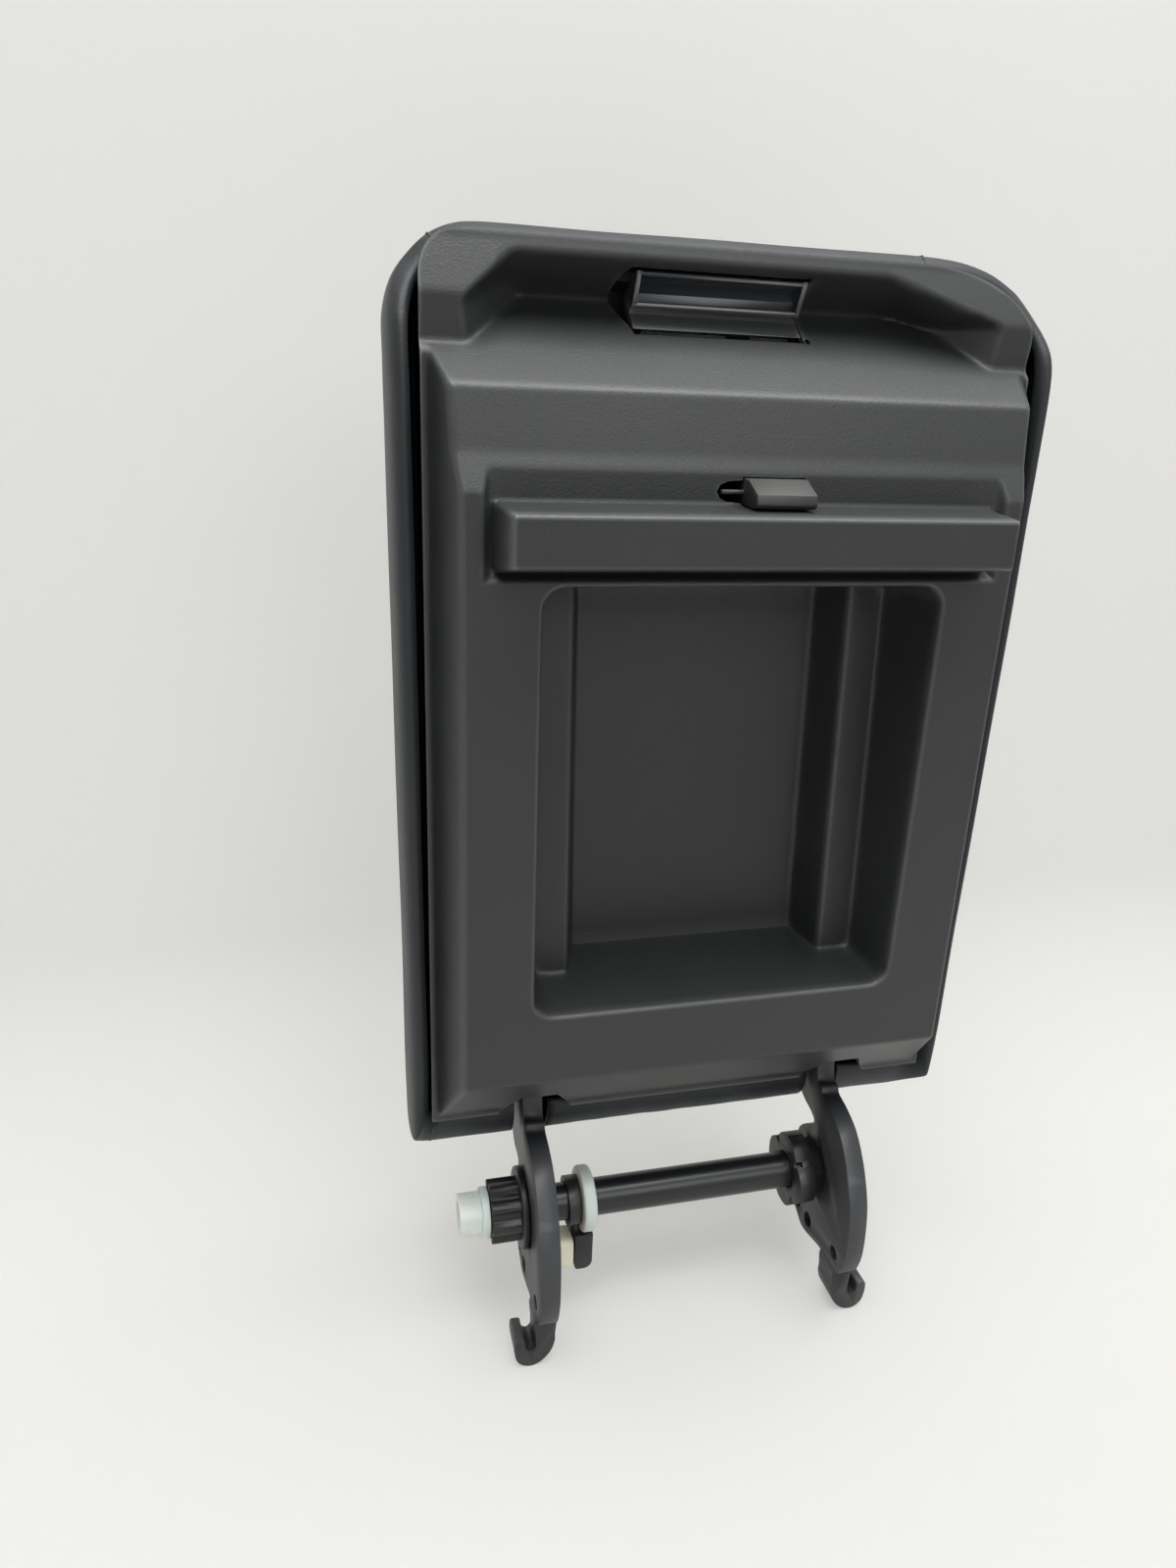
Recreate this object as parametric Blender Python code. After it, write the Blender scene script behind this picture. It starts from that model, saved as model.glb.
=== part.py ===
"""Center console armrest: a storage lid with a padded top, its latch, hinge arms and hinge rod.

Sizes are millimetres; meshes are written in metres. The lid is drawn in its own frame: the origin lies on
the hinge axis, x runs across the lid, y from the hinge to the front end and z out of the underside.
The lid stands open, so its y points up (+Z) and its z forward (-Y).
"""
import math

import bmesh
import bpy
from mathutils import Vector

MM = 0.001
GAP = 0.4                    # running gap between neighbouring pieces
OPEN_ANGLE = math.radians(90)

# Liner, the moulded underside of the lid
LINER_WALL = 2.4
FACE_Z = 20.5                # main face
FACE_HALF_W = 95.7
FACE_BOTTOM_Y = 74.0
FACE_TOP_Y = 285.0
SIDE_DRAFT = 0.316           # sideways run of the tub's side for each millimetre of depth
FLANGE_Z = -2.0
FLANGE_LIP = 2.2
FLANGE_BOTTOM_Y = 45.4
BAND_BOTTOM_Y = 296.4
BAND_BOTTOM_Z = 15.2
BAND_CREST_Y = 315.1
BAND_CREST_Z = 11.8
FRONT_SLOPE = 1.41
SHELF_Y = 327.1
SHELF_TOP_Y = 341.0
SHELF_TOP_Z = -2.6
RIM_Y = 357.5
RIM_Z = -8.5
LINER_LEFT_CORNER = (11.0, 14.0)     # reach of the front corners' curves across and along the lid
LINER_RIGHT_CORNER = (40.0, 24.0)

# Storage recess in the liner
RECESS_HALF_W = 70.0
RECESS_BOTTOM_Y = 101.7
RECESS_TOP_Y = 256.2
SIDE_WALL_RUN = 3.4          # draft of the recess's side walls
STEP_HALF_W = RECESS_HALF_W - SIDE_WALL_RUN
STEP_Z_LOW = -4.5
STEP_Z_HIGH = -13.0
FLOOR_HALF_W = 47.4
STEP_WALL_RUN = 4.8          # draft of the walls between floor and steps
STEP_INNER_HALF_W = FLOOR_HALF_W + STEP_WALL_RUN
FLOOR_Z_LOW = -22.6
FLOOR_Z_HIGH = -32.4
RECESS_WALL_RUN = 2.6        # draft of the recess's end walls

# Cross bar with the groove round it
BAR_HALF_W = 83.3
BAR_BOTTOM_Y = 264.1
BAR_TOP_Y = 280.7
BAR_Z = 38.3
BAR_DRAFT = 2.2
GROOVE_HALF_W = 87.0
GROOVE_BOTTOM_Y = 260.5
GROOVE_Z = 17.2
GROOVE_SLOPE = 2.0

# Finger pocket at the front end
POCKET_HALF_W = 70.0
POCKET_FOOT_Y = 343.5
POCKET_FOOT_Z = -28.0
POCKET_SIDE_RUN = 19.0
POCKET_END_RUN = 11.0
POCKET_RISE = 21.0
POCKET_CUT_SIDE = (89.0, 340.5)      # top edge of the cut back corners, at the side and at the back
POCKET_LEFT_CUT = (77.0, 353.0)
POCKET_RIGHT_CUT = (56.0, 352.4)
POCKET_CUT_RUN = 6.5         # draft of the walls across the pocket's back corners

# Padded top: outer half widths, ends and depths of the cover
COVER_HALF_W_HINGE = 113.2
COVER_HALF_W_FRONT = 115.6
COVER_HINGE_Y = 26.0
COVER_FRONT_Y = 362.0
COVER_LEFT_CORNER = (29.0, 32.0)
COVER_RIGHT_CORNER = (50.0, 34.0)
COVER_CORNER_HINGE = 12.0
COVER_FRONT_Z = 3.0          # crest of the edge roll
COVER_BACK_Z = -62.0
COVER_CROWN = 6.0
COVER_SKIN = 1.4
ROLL_RADIUS = 8.0
COVER_LIP_INSET = 9.4        # how far the roll reaches in over the carrier's rim

# Carrier pan
CARRIER_WALL = 3.0
CARRIER_FLOOR_Z = FLOOR_Z_HIGH - LINER_WALL - GAP
CARRIER_BACK_Z = CARRIER_FLOOR_Z - CARRIER_WALL
CARRIER_INSET = 12.0
CARRIER_RIM_Z = FLANGE_Z - LINER_WALL - GAP

# Hinge arms
ARM_MID_X = 64.4
ARM_THICK = 7.8
EYE_RADIUS = 17.6
BUSH_WALL = 2.0
ARM_SLOT_HALF_W = 6.6
ARM_FOOT_HALF_W = 15.0
ARM_FOOT_BOTTOM_Y = 56.0
ARM_FOOT_TOP_Y = 92.0
ARM_FOOT_THICK = 4.0
HOOK_BACK_Z = 16.0
HOOK_FRONT_Z = 28.5
HOOK_BOTTOM_Y = -54.6
SCREW_RADIUS = 2.0
SCREW_HEAD_RADIUS = 4.2
SCREW_HEAD = 2.6

# Hinge rod and what sits on it
ROD_RADIUS = 7.5
ROD_RIGHT_X = 75.0
COLLAR_X = -43.0
COLLAR_WIDTH = 5.5
COLLAR_RADIUS = 13.2
TAB_BOTTOM_Y = -31.0
TAB_HALF_DEPTH = 6.5
PAD_WIDTH = 6.4
FLANGE_RADIUS = 16.2
FLANGE_WIDTH = 2.6
TEETH_RADIUS = 12.4
TEETH_ROOT = 10.2
TEETH = 8
TEETH_LEFT_X = -83.0
CAP_RADIUS = 10.0
CAP_WIDTH = 12.0
BOSS_RADIUS = 16.6
BOSS_WIDTH = 11.0
BOSS_LOBES = 4
CLIP_RADIUS = 11.0
CLIP_WIDTH = 1.6
CLIP_X = 71.0

# Latch: paddle on its pin, link, pawl in its guides, all on one bracket
PADDLE_X = -4.0
PADDLE_HALF_W = 29.0
PADDLE_PIVOT_Y = 334.0
PADDLE_PIVOT_Z = -24.0
PADDLE_TOP_Y = 351.0
PIN_RADIUS = 1.25
WINDOW_GAP = 0.8
WINDOW_BOTTOM_Y = 331.0
EAR_RADIUS = 2.3
EAR_WALL = 2.4
LEVER_HALF_W = 4.0
LEVER_THICK = 3.0
LEVER_END_Z = -31.0
LINK_TOP_Z = -28.5
LINK_THICK = 2.8
WEDGE_Y = 294.5
WEDGE_RUN = 2.5
WEDGE_RISE = 8.0
POST_THICK = 3.0
PAWL_X = 4.0
PAWL_HALF_W = 11.0
PAWL_BOTTOM_Y = 281.9
PAWL_TOP_Y = 290.4
PAWL_Z = 29.5
PAWL_HEAD_Z = 10.0
PAWL_STEM_HALF_W = 5.0
PAWL_STEM_Z = -24.0
PAWL_TRAVEL = 3.5
PAWL_PIN_Z = -8.0
PAWL_WINDOW_HALF_W = 17.0
GUIDE_WALL = 2.0
GUIDE_TOP_Z = 5.0
BRACKET_THICK = 2.6
BRACKET_HALF_W = 32.4
BRACKET_HINGE_Y = 278.0
BRACKET_FRONT_Y = 338.0
SPRING_WIRE = 0.6


def material(name, colour, roughness, metallic=0.0):
    """A plain Principled material."""
    finish = bpy.data.materials.new(name)
    finish.use_nodes = True
    shader = finish.node_tree.nodes["Principled BSDF"]
    shader.inputs["Base Color"].default_value = (*colour, 1.0)
    shader.inputs["Roughness"].default_value = roughness
    shader.inputs["Metallic"].default_value = metallic
    return finish


def empty(name, place, rotation=(0.0, 0.0, 0.0), parent=None):
    """A frame that pieces are parented to; place is in millimetres."""
    frame = bpy.data.objects.new(name, None)
    bpy.context.scene.collection.objects.link(frame)
    frame.parent = parent
    frame.location = [value * MM for value in place]
    frame.rotation_euler = rotation
    return frame


def to_object(name, shape, finish, parent, origin=(0.0, 0.0, 0.0)):
    """Make an object from a bmesh in millimetres; origin is the parent's place in the same frame."""
    bmesh.ops.translate(shape, verts=shape.verts, vec=-Vector(origin))
    bmesh.ops.scale(shape, verts=shape.verts, vec=(MM, MM, MM))
    bmesh.ops.recalc_face_normals(shape, faces=shape.faces)
    mesh = bpy.data.meshes.new(name)
    shape.to_mesh(mesh)
    shape.free()
    if finish is not None:
        mesh.materials.append(finish)
    piece = bpy.data.objects.new(name, mesh)
    bpy.context.scene.collection.objects.link(piece)
    piece.parent = parent
    return piece


def guide(name, shape, parent, origin=(0.0, 0.0, 0.0)):
    """An operand for a Boolean, kept out of the model."""
    piece = to_object(name, shape, None, parent, origin)
    piece.hide_render = True
    piece.display_type = "WIRE"
    return piece


def boolean(target, operation, operands):
    for operand in operands:
        step = target.modifiers.new(operand.name, "BOOLEAN")
        step.operation = operation
        step.solver = "EXACT"
        step.object = operand


def round_shading(piece, angle=35.0):
    piece.data.shade_smooth()
    piece.data.set_sharp_from_angle(angle=math.radians(angle))


def add_rings(shape, rings, first_cap=True, last_cap=True):
    """Faces between rings of as many points each, with flat caps where asked."""
    loops = [[shape.verts.new(point) for point in ring] for ring in rings]
    for lower, upper in zip(loops, loops[1:]):
        count = len(lower)
        for i in range(count):
            j = (i + 1) % count
            shape.faces.new((lower[i], lower[j], upper[j], upper[i]))
    if first_cap:
        shape.faces.new(loops[0])
    if last_cap:
        shape.faces.new(loops[-1])
    return loops


def prism(outline, low, high, axis="z", shape=None):
    """An outline pushed along an axis: (x, y) along z, or (y, z) along x."""
    shape = shape or bmesh.new()
    rings = []
    for depth in (low, high):
        if axis == "z":
            rings.append([(u, v, depth) for u, v in outline])
        else:
            rings.append([(depth, u, v) for u, v in outline])
    add_rings(shape, rings)
    return shape


def box(low, high, shape=None):
    corners = ((low[0], low[1]), (high[0], low[1]), (high[0], high[1]), (low[0], high[1]))
    return prism(corners, low[2], high[2], "z", shape)


def circle(radius, count, centre=(0.0, 0.0), turn=0.0):
    steps = [turn + 2 * math.pi * i / count for i in range(count)]
    return [(centre[0] + radius * math.cos(a), centre[1] + radius * math.sin(a)) for a in steps]


def turned(profile, count, centre=(0.0, 0.0), shape=None):
    """A solid turned about an axis along x: profile holds (x, radius), from one end to the other."""
    shape = shape or bmesh.new()
    rings = [[(x, y, z) for y, z in circle(radius, count, centre)] for x, radius in profile]
    add_rings(shape, rings)
    return shape


def turned_ring(profile, count, centre=(0.0, 0.0)):
    """A ring turned about an axis along x from a closed (x, radius) profile."""
    shape = bmesh.new()
    rings = [[(x, y, z) for y, z in circle(radius, count, centre)] for x, radius in profile]
    loops = add_rings(shape, rings, False, False)
    first, last = loops[0], loops[-1]
    for i in range(count):
        j = (i + 1) % count
        shape.faces.new((last[i], last[j], first[j], first[i]))
    return shape


def stud(radius, count, low, high, centre):
    """A round stud along z at centre (x, y)."""
    return prism(circle(radius, count, centre), low, high, "z")


def along(points, place):
    """Height of a line through (place, height) points, level past its ends."""
    if place <= points[0][0]:
        return points[0][1]
    for (start, low), (end, high) in zip(points, points[1:]):
        if place <= end:
            return low + (high - low) * (place - start) / (end - start)
    return points[-1][1]


def clear_scene():
    for piece in list(bpy.data.objects):
        bpy.data.objects.remove(piece, do_unlink=True)


def spine(y):
    """Height of the liner along its middle, without recess, bar and pocket."""
    points = (
        (FLANGE_BOTTOM_Y + FLANGE_LIP, FLANGE_Z),
        (FACE_BOTTOM_Y, FACE_Z),
        (FACE_TOP_Y, FACE_Z),
        (BAND_BOTTOM_Y, BAND_BOTTOM_Z),
        (BAND_CREST_Y, BAND_CREST_Z),
        (POCKET_FOOT_Y, BAND_CREST_Z - FRONT_SLOPE * (POCKET_FOOT_Y - BAND_CREST_Y)),
    )
    return along(points, y)


def front_end(x, y):
    """Rim and side shelves at the front end, hollowed by the finger pocket."""
    shelf_z = BAND_CREST_Z - FRONT_SLOPE * (SHELF_Y - BAND_CREST_Y)
    rim = along(((SHELF_Y, shelf_z), (SHELF_TOP_Y, SHELF_TOP_Z), (RIM_Y, RIM_Z)), y)
    sideways = (abs(x) - POCKET_HALF_W) / POCKET_SIDE_RUN
    forwards = (y - POCKET_FOOT_Y) / POCKET_END_RUN
    end = POCKET_LEFT_CUT if x < 0 else POCKET_RIGHT_CUT
    run, rise = POCKET_CUT_SIDE[0] - end[0], POCKET_CUT_SIDE[1] - end[1]
    beyond = (run * (y - end[1]) - rise * (abs(x) - end[0])) / math.hypot(run, rise)
    across_corner = 1.0 + beyond / POCKET_CUT_RUN
    return min(rim, POCKET_FOOT_Z + POCKET_RISE * max(0.0, sideways, forwards, across_corner))


def recess(x, y):
    """Height inside the storage recess, with its two side steps."""
    reach = (y - RECESS_BOTTOM_Y) / (RECESS_TOP_Y - RECESS_BOTTOM_Y)
    step_z = STEP_Z_LOW + reach * (STEP_Z_HIGH - STEP_Z_LOW)
    floor_z = FLOOR_Z_LOW + reach * (FLOOR_Z_HIGH - FLOOR_Z_LOW)
    level = along(((FLOOR_HALF_W, floor_z), (STEP_INNER_HALF_W, step_z)), abs(x))
    side = along(((STEP_HALF_W, level), (RECESS_HALF_W, FACE_Z)), abs(x))
    end = min(y - RECESS_BOTTOM_Y, RECESS_TOP_Y - y)
    wall = FACE_Z - end * (FACE_Z - FLOOR_Z_HIGH) / RECESS_WALL_RUN
    return max(side, wall)


def liner_height(x, y):
    """Outer surface of the liner."""
    half = abs(x)
    height = spine(y)
    outside = max(half - GROOVE_HALF_W, GROOVE_BOTTOM_Y - y, 0.0)
    if y < BAND_BOTTOM_Y:
        height = min(height, GROOVE_Z + outside * (FACE_Z - GROOVE_Z) / GROOVE_SLOPE)
        beyond = max(half - BAR_HALF_W, BAR_BOTTOM_Y - y, (y - BAR_TOP_Y) * BAR_DRAFT / GAP, 0.0)
        height = max(height, BAR_Z - beyond * (BAR_Z - GROOVE_Z) / BAR_DRAFT)
    if half < RECESS_HALF_W and RECESS_BOTTOM_Y < y < RECESS_TOP_Y:
        height = min(height, recess(x, y))
    if y > BAND_CREST_Y:
        height = max(height, front_end(x, y))
    side = FACE_Z - (half - FACE_HALF_W) / SIDE_DRAFT
    return min(height, max(side, FLANGE_Z))


def liner_underside(x, y):
    """Inner surface: the outer one set back by the wall in every direction."""
    lowest = liner_height(x, y) - LINER_WALL
    for reach in (0.71, 1.0):
        drop = LINER_WALL * math.sqrt(max(0.0, 1.0 - reach * reach))
        for dx, dy in circle(LINER_WALL * reach, 8):
            lowest = min(lowest, liner_height(x + dx, y + dy) - drop)
    return lowest


def liner_lines():
    """Grid lines (outer surface, underside) across the half width and along the length."""
    wall = LINER_WALL
    corner = wall * 0.7          # the underside turns this far past a corner of the outer surface
    flange_x = FACE_HALF_W + (FACE_Z - FLANGE_Z) * SIDE_DRAFT
    edge_x = flange_x + FLANGE_LIP
    across = [
        (0.0, 0.0),
        (FLOOR_HALF_W / 2, FLOOR_HALF_W / 2),
        (FLOOR_HALF_W, FLOOR_HALF_W + corner),
        (STEP_INNER_HALF_W, STEP_INNER_HALF_W + wall),
        (STEP_HALF_W, STEP_HALF_W + corner),
        (RECESS_HALF_W, RECESS_HALF_W + wall),
        ((RECESS_HALF_W + BAR_HALF_W) / 2, (RECESS_HALF_W + BAR_HALF_W) / 2),
        (BAR_HALF_W, BAR_HALF_W - wall),
        (BAR_HALF_W + BAR_DRAFT, BAR_HALF_W + BAR_DRAFT - corner),
        (GROOVE_HALF_W, GROOVE_HALF_W),
        (GROOVE_HALF_W + GROOVE_SLOPE, GROOVE_HALF_W + GROOVE_SLOPE + wall / 2),
        (FACE_HALF_W, FACE_HALF_W - wall * 0.7),
        (flange_x, flange_x - corner),
        (edge_x, edge_x),
    ]
    draft = RECESS_WALL_RUN
    lengthways = [
        (FLANGE_BOTTOM_Y, FLANGE_BOTTOM_Y),
        (FLANGE_BOTTOM_Y + FLANGE_LIP, FLANGE_BOTTOM_Y + FLANGE_LIP + wall * 0.4),
        (FACE_BOTTOM_Y, FACE_BOTTOM_Y + wall * 0.4),
        (RECESS_BOTTOM_Y, RECESS_BOTTOM_Y - wall),
        (RECESS_BOTTOM_Y + draft, RECESS_BOTTOM_Y + draft - corner),
        (RECESS_BOTTOM_Y + FLOOR_HALF_W, RECESS_BOTTOM_Y + FLOOR_HALF_W),
        (RECESS_TOP_Y - draft, RECESS_TOP_Y - draft + corner),
        (RECESS_TOP_Y, RECESS_TOP_Y + wall),
        (GROOVE_BOTTOM_Y - GROOVE_SLOPE, GROOVE_BOTTOM_Y),
        (GROOVE_BOTTOM_Y, GROOVE_BOTTOM_Y + wall / 2),
        (BAR_BOTTOM_Y - BAR_DRAFT, BAR_BOTTOM_Y - BAR_DRAFT + corner),
        (BAR_BOTTOM_Y, BAR_BOTTOM_Y + wall),
        (BAR_TOP_Y, BAR_TOP_Y - wall),
        (BAR_TOP_Y + GAP, BAR_TOP_Y + GAP - corner),
        (FACE_TOP_Y, FACE_TOP_Y),
        (BAND_BOTTOM_Y, BAND_BOTTOM_Y),
        (BAND_CREST_Y, BAND_CREST_Y - wall * 0.5),
        (SHELF_Y, SHELF_Y - wall * 0.6),
        ((SHELF_Y + SHELF_TOP_Y) / 2, (SHELF_Y + SHELF_TOP_Y) / 2),
        (SHELF_TOP_Y, SHELF_TOP_Y),
        (POCKET_FOOT_Y, POCKET_FOOT_Y),
        (POCKET_FOOT_Y + POCKET_END_RUN / 2, POCKET_FOOT_Y + POCKET_END_RUN / 2 + wall * 0.6),
        (RIM_Y - GAP * 2, RIM_Y - GAP * 2),
        (RIM_Y + FLANGE_LIP / 2, RIM_Y + FLANGE_LIP / 2),
    ]
    mirrored = [(-outer, -inner) for outer, inner in reversed(across[1:])]
    return mirrored + across, lengthways


def rounded_place(x, y, edge_x, edge_y):
    """Pull a grid point near a front corner onto the rounded outline."""
    reach_x, reach_y = LINER_LEFT_CORNER if x < 0 else LINER_RIGHT_CORNER
    across = (abs(x) - edge_x) / reach_x + 1.0
    forwards = (y - edge_y) / reach_y + 1.0
    if across <= 0 or forwards <= 0:
        return x, y
    pull = max(across, forwards) / math.hypot(across, forwards)
    return math.copysign(edge_x + (across * pull - 1.0) * reach_x, x), edge_y + (forwards * pull - 1.0) * reach_y


def liner_shell():
    """Two grids over the same outline, joined round their edge."""
    across, lengthways = liner_lines()
    edge_x, edge_y = across[-1][0], lengthways[-1][0]
    shape = bmesh.new()
    layers = []
    for side, surface in ((0, liner_height), (1, liner_underside)):
        rows = []
        for line_y in lengthways:
            row = []
            for line_x in across:
                x, y = rounded_place(line_x[side], line_y[side], edge_x, edge_y)
                row.append(shape.verts.new((x, y, surface(x, y))))
            rows.append(row)
        layers.append(rows)
    rows_count, columns = len(lengthways), len(across)
    for rows in layers:
        for j in range(rows_count - 1):
            for i in range(columns - 1):
                shape.faces.new((rows[j][i], rows[j][i + 1], rows[j + 1][i + 1], rows[j + 1][i]))
    outline = [(0, i) for i in range(columns)]
    outline += [(j, columns - 1) for j in range(1, rows_count)]
    outline += [(rows_count - 1, i) for i in range(columns - 2, -1, -1)]
    outline += [(j, 0) for j in range(rows_count - 2, 0, -1)]
    for (j, i), (k, m) in zip(outline, outline[1:] + outline[:1]):
        shape.faces.new((layers[0][j][i], layers[0][k][m], layers[1][k][m], layers[1][j][i]))
    bmesh.ops.triangulate(shape, faces=shape.faces)
    return shape


def build_liner(parent, plastic):
    liner = to_object("liner", liner_shell(), plastic, parent)
    cutters = []
    for side in (-1, 1):
        middle = side * ARM_MID_X
        low_half, high_half = 2.3 * ARM_THICK, 0.9 * ARM_THICK
        outline = (
            (middle - low_half, FLANGE_BOTTOM_Y - 5),
            (middle + low_half, FLANGE_BOTTOM_Y - 5),
            (middle + high_half, ARM_FOOT_BOTTOM_Y + 2),
            (middle - high_half, ARM_FOOT_BOTTOM_Y + 2),
        )
        cutters.append(guide("arm_notch", prism(outline, FLANGE_Z - 12, FACE_Z), parent))
    low = (PAWL_X - PAWL_WINDOW_HALF_W, BAR_TOP_Y + GAP * 2, -5.0)
    high = (PAWL_X + PAWL_WINDOW_HALF_W, PAWL_TOP_Y + GAP, PAWL_Z)
    cutters.append(guide("pawl_window", box(low, high), parent))
    half = PADDLE_HALF_W + WINDOW_GAP
    low = (PADDLE_X - half, WINDOW_BOTTOM_Y, POCKET_FOOT_Z - 12)
    high = (PADDLE_X + half, PADDLE_TOP_Y + WINDOW_GAP, BAND_CREST_Z)
    cutters.append(guide("paddle_window", box(low, high), parent))
    boolean(liner, "DIFFERENCE", cutters)
    return liner


def lid_side(insets, corner, corner_segments, side_segments):
    """Points up the right side of the lid, with the given reach of the front corner's curve."""
    side, hinge, front = insets
    low_y, high_y = COVER_HINGE_Y + hinge, COVER_FRONT_Y - front
    low_r = max(COVER_CORNER_HINGE - side, 2.0)
    reach_x, reach_y = (max(reach - inset, 2.0) for reach, inset in zip(corner, (side, front)))

    def half_width(y):
        share = (y - COVER_HINGE_Y) / (COVER_FRONT_Y - COVER_HINGE_Y)
        return COVER_HALF_W_HINGE + share * (COVER_HALF_W_FRONT - COVER_HALF_W_HINGE) - side

    points = []
    for i in range(corner_segments + 1):
        angle = math.pi / 2 * (i / corner_segments - 1)
        y = low_y + low_r + low_r * math.sin(angle)
        points.append((half_width(y) - low_r + low_r * math.cos(angle), y))
    for i in range(1, side_segments):
        y = low_y + low_r + (high_y - reach_y - low_y - low_r) * i / side_segments
        points.append((half_width(y), y))
    for i in range(corner_segments + 1):
        angle = math.pi / 2 * i / corner_segments
        y = high_y - reach_y + reach_y * math.sin(angle)
        points.append((half_width(y) - reach_x + reach_x * math.cos(angle), y))
    return points


def lid_outline(insets, heights, corner_segments=5, side_segments=4):
    """One ring round the lid, inset from the cover's outline at its sides, hinge end and front end."""
    right = lid_side(insets, COVER_RIGHT_CORNER, corner_segments, side_segments)
    left = [(-x, y) for x, y in reversed(lid_side(insets, COVER_LEFT_CORNER, corner_segments, side_segments))]
    low_y, high_y = right[0][1], right[-1][1]
    shares = [i / side_segments for i in range(1, side_segments)]
    top = [(right[-1][0] + (left[0][0] - right[-1][0]) * share, high_y) for share in shares]
    bottom = [(left[-1][0] + (right[0][0] - left[-1][0]) * share, low_y) for share in shares]
    side_z, hinge_z, front_z = heights
    levels = (
        (low_y, hinge_z),
        (low_y + COVER_CORNER_HINGE, side_z),
        (COVER_FRONT_Y - COVER_RIGHT_CORNER[1] - GAP * 10, side_z),
        (RIM_Y - LINER_LEFT_CORNER[1], front_z),
    )
    return [(x, y, along(levels, y)) for x, y in right + top + left + bottom]


def set_back(profile, distance):
    """A profile of (inset, z) points moved into the cover along its normals."""
    moved = []
    last = len(profile) - 1
    for i, (inset, z) in enumerate(profile):
        before, after = profile[max(i - 1, 0)], profile[min(i + 1, last)]
        run, rise = after[0] - before[0], after[1] - before[1]
        length = math.hypot(run, rise)
        moved.append((inset - rise / length * distance, z + run / length * distance))
    return moved


def rings_of(profiles):
    """Rings round the lid from matching profiles at the sides, hinge end and front end."""
    rings = []
    for side, hinge, front in zip(*profiles):
        rings.append(lid_outline((side[0], hinge[0], front[0]), (side[1], hinge[1], front[1])))
    return rings


def cup(outer, inner):
    """A closed pan: outer and inner rings, each capped at its back, joined at the rim."""
    shape = bmesh.new()
    outer_loops = add_rings(shape, rings_of(outer), False, True)
    inner_loops = add_rings(shape, rings_of(inner), False, True)
    first, second = outer_loops[0], inner_loops[0]
    for i in range(len(first)):
        j = (i + 1) % len(first)
        shape.faces.new((first[i], first[j], second[j], second[i]))
    return shape


def cover_profiles():
    """Outer surface of the cover from its tucked lip over the edge roll to the middle of its back."""
    crest, back = COVER_FRONT_Z, COVER_BACK_Z
    front_crest = RIM_Z - LINER_WALL - GAP * 2
    hinge_crest = FLANGE_Z - LINER_WALL - ROLL_RADIUS / 2
    bulge = ROLL_RADIUS / 2
    flank = (
        (0.0, crest - ROLL_RADIUS * 1.2),
        (0.4, back * 0.42),
        (2.4, back * 0.64),
        (7.0, back * 0.82),
        (14.0, back * 0.94),
        (26.0, back - COVER_CROWN * 0.1),
        (48.0, back - COVER_CROWN * 0.7),
        (84.0, back - COVER_CROWN),
    )
    side = ((COVER_LIP_INSET - 2, crest - 6.0), (COVER_LIP_INSET - 2.4, crest - 2.0), (bulge, crest),
            (bulge / 3, crest - 3.4)) + flank
    hinge = ((COVER_LIP_INSET * 1.9, hinge_crest - 3.0), (COVER_LIP_INSET * 1.8, hinge_crest),
             (COVER_LIP_INSET, hinge_crest - 1.0), (bulge / 2, hinge_crest - 5.0),
             (0.0, hinge_crest - ROLL_RADIUS * 1.6)) + flank[1:]
    front = ((COVER_LIP_INSET * 0.6, front_crest - 3.4), (COVER_LIP_INSET * 0.57, front_crest - 1.0),
             (bulge * 0.8, front_crest), (bulge / 5, front_crest - 3.6),
             (0.0, front_crest - ROLL_RADIUS * 1.2)) + flank[1:]
    return side, hinge, front


def carrier_profiles():
    """Outer surface of the carrier pan, from its rim to the middle of its back."""
    back = CARRIER_BACK_Z
    side = ((CARRIER_INSET, CARRIER_RIM_Z), (CARRIER_INSET, back * 0.4), (CARRIER_INSET + 2, back * 0.8),
            (CARRIER_INSET + 6, back), (CARRIER_INSET * 6, back))
    hinge = ((CARRIER_INSET * 1.7, back * 0.36), (CARRIER_INSET * 1.7, back * 0.5),
             (CARRIER_INSET * 1.8, back * 0.8), (CARRIER_INSET * 2.2, back), (CARRIER_INSET * 6, back))
    front = ((CARRIER_INSET - 2, back * 0.62), (CARRIER_INSET - 2, back * 0.7), (CARRIER_INSET, back * 0.88),
             (CARRIER_INSET + 3, back), (CARRIER_INSET * 6, back))
    return side, hinge, front


def slots_for_arms(parent, name):
    """Cutters for the two gaps that the hinge arms pass through."""
    cutters = []
    for side in (-1, 1):
        low = (side * ARM_MID_X - ARM_SLOT_HALF_W, COVER_HINGE_Y - 12, CARRIER_FLOOR_Z + 1)
        high = (side * ARM_MID_X + ARM_SLOT_HALF_W, ARM_FOOT_BOTTOM_Y, FACE_Z)
        cutters.append(guide(name, box(low, high), parent))
    return cutters


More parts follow.
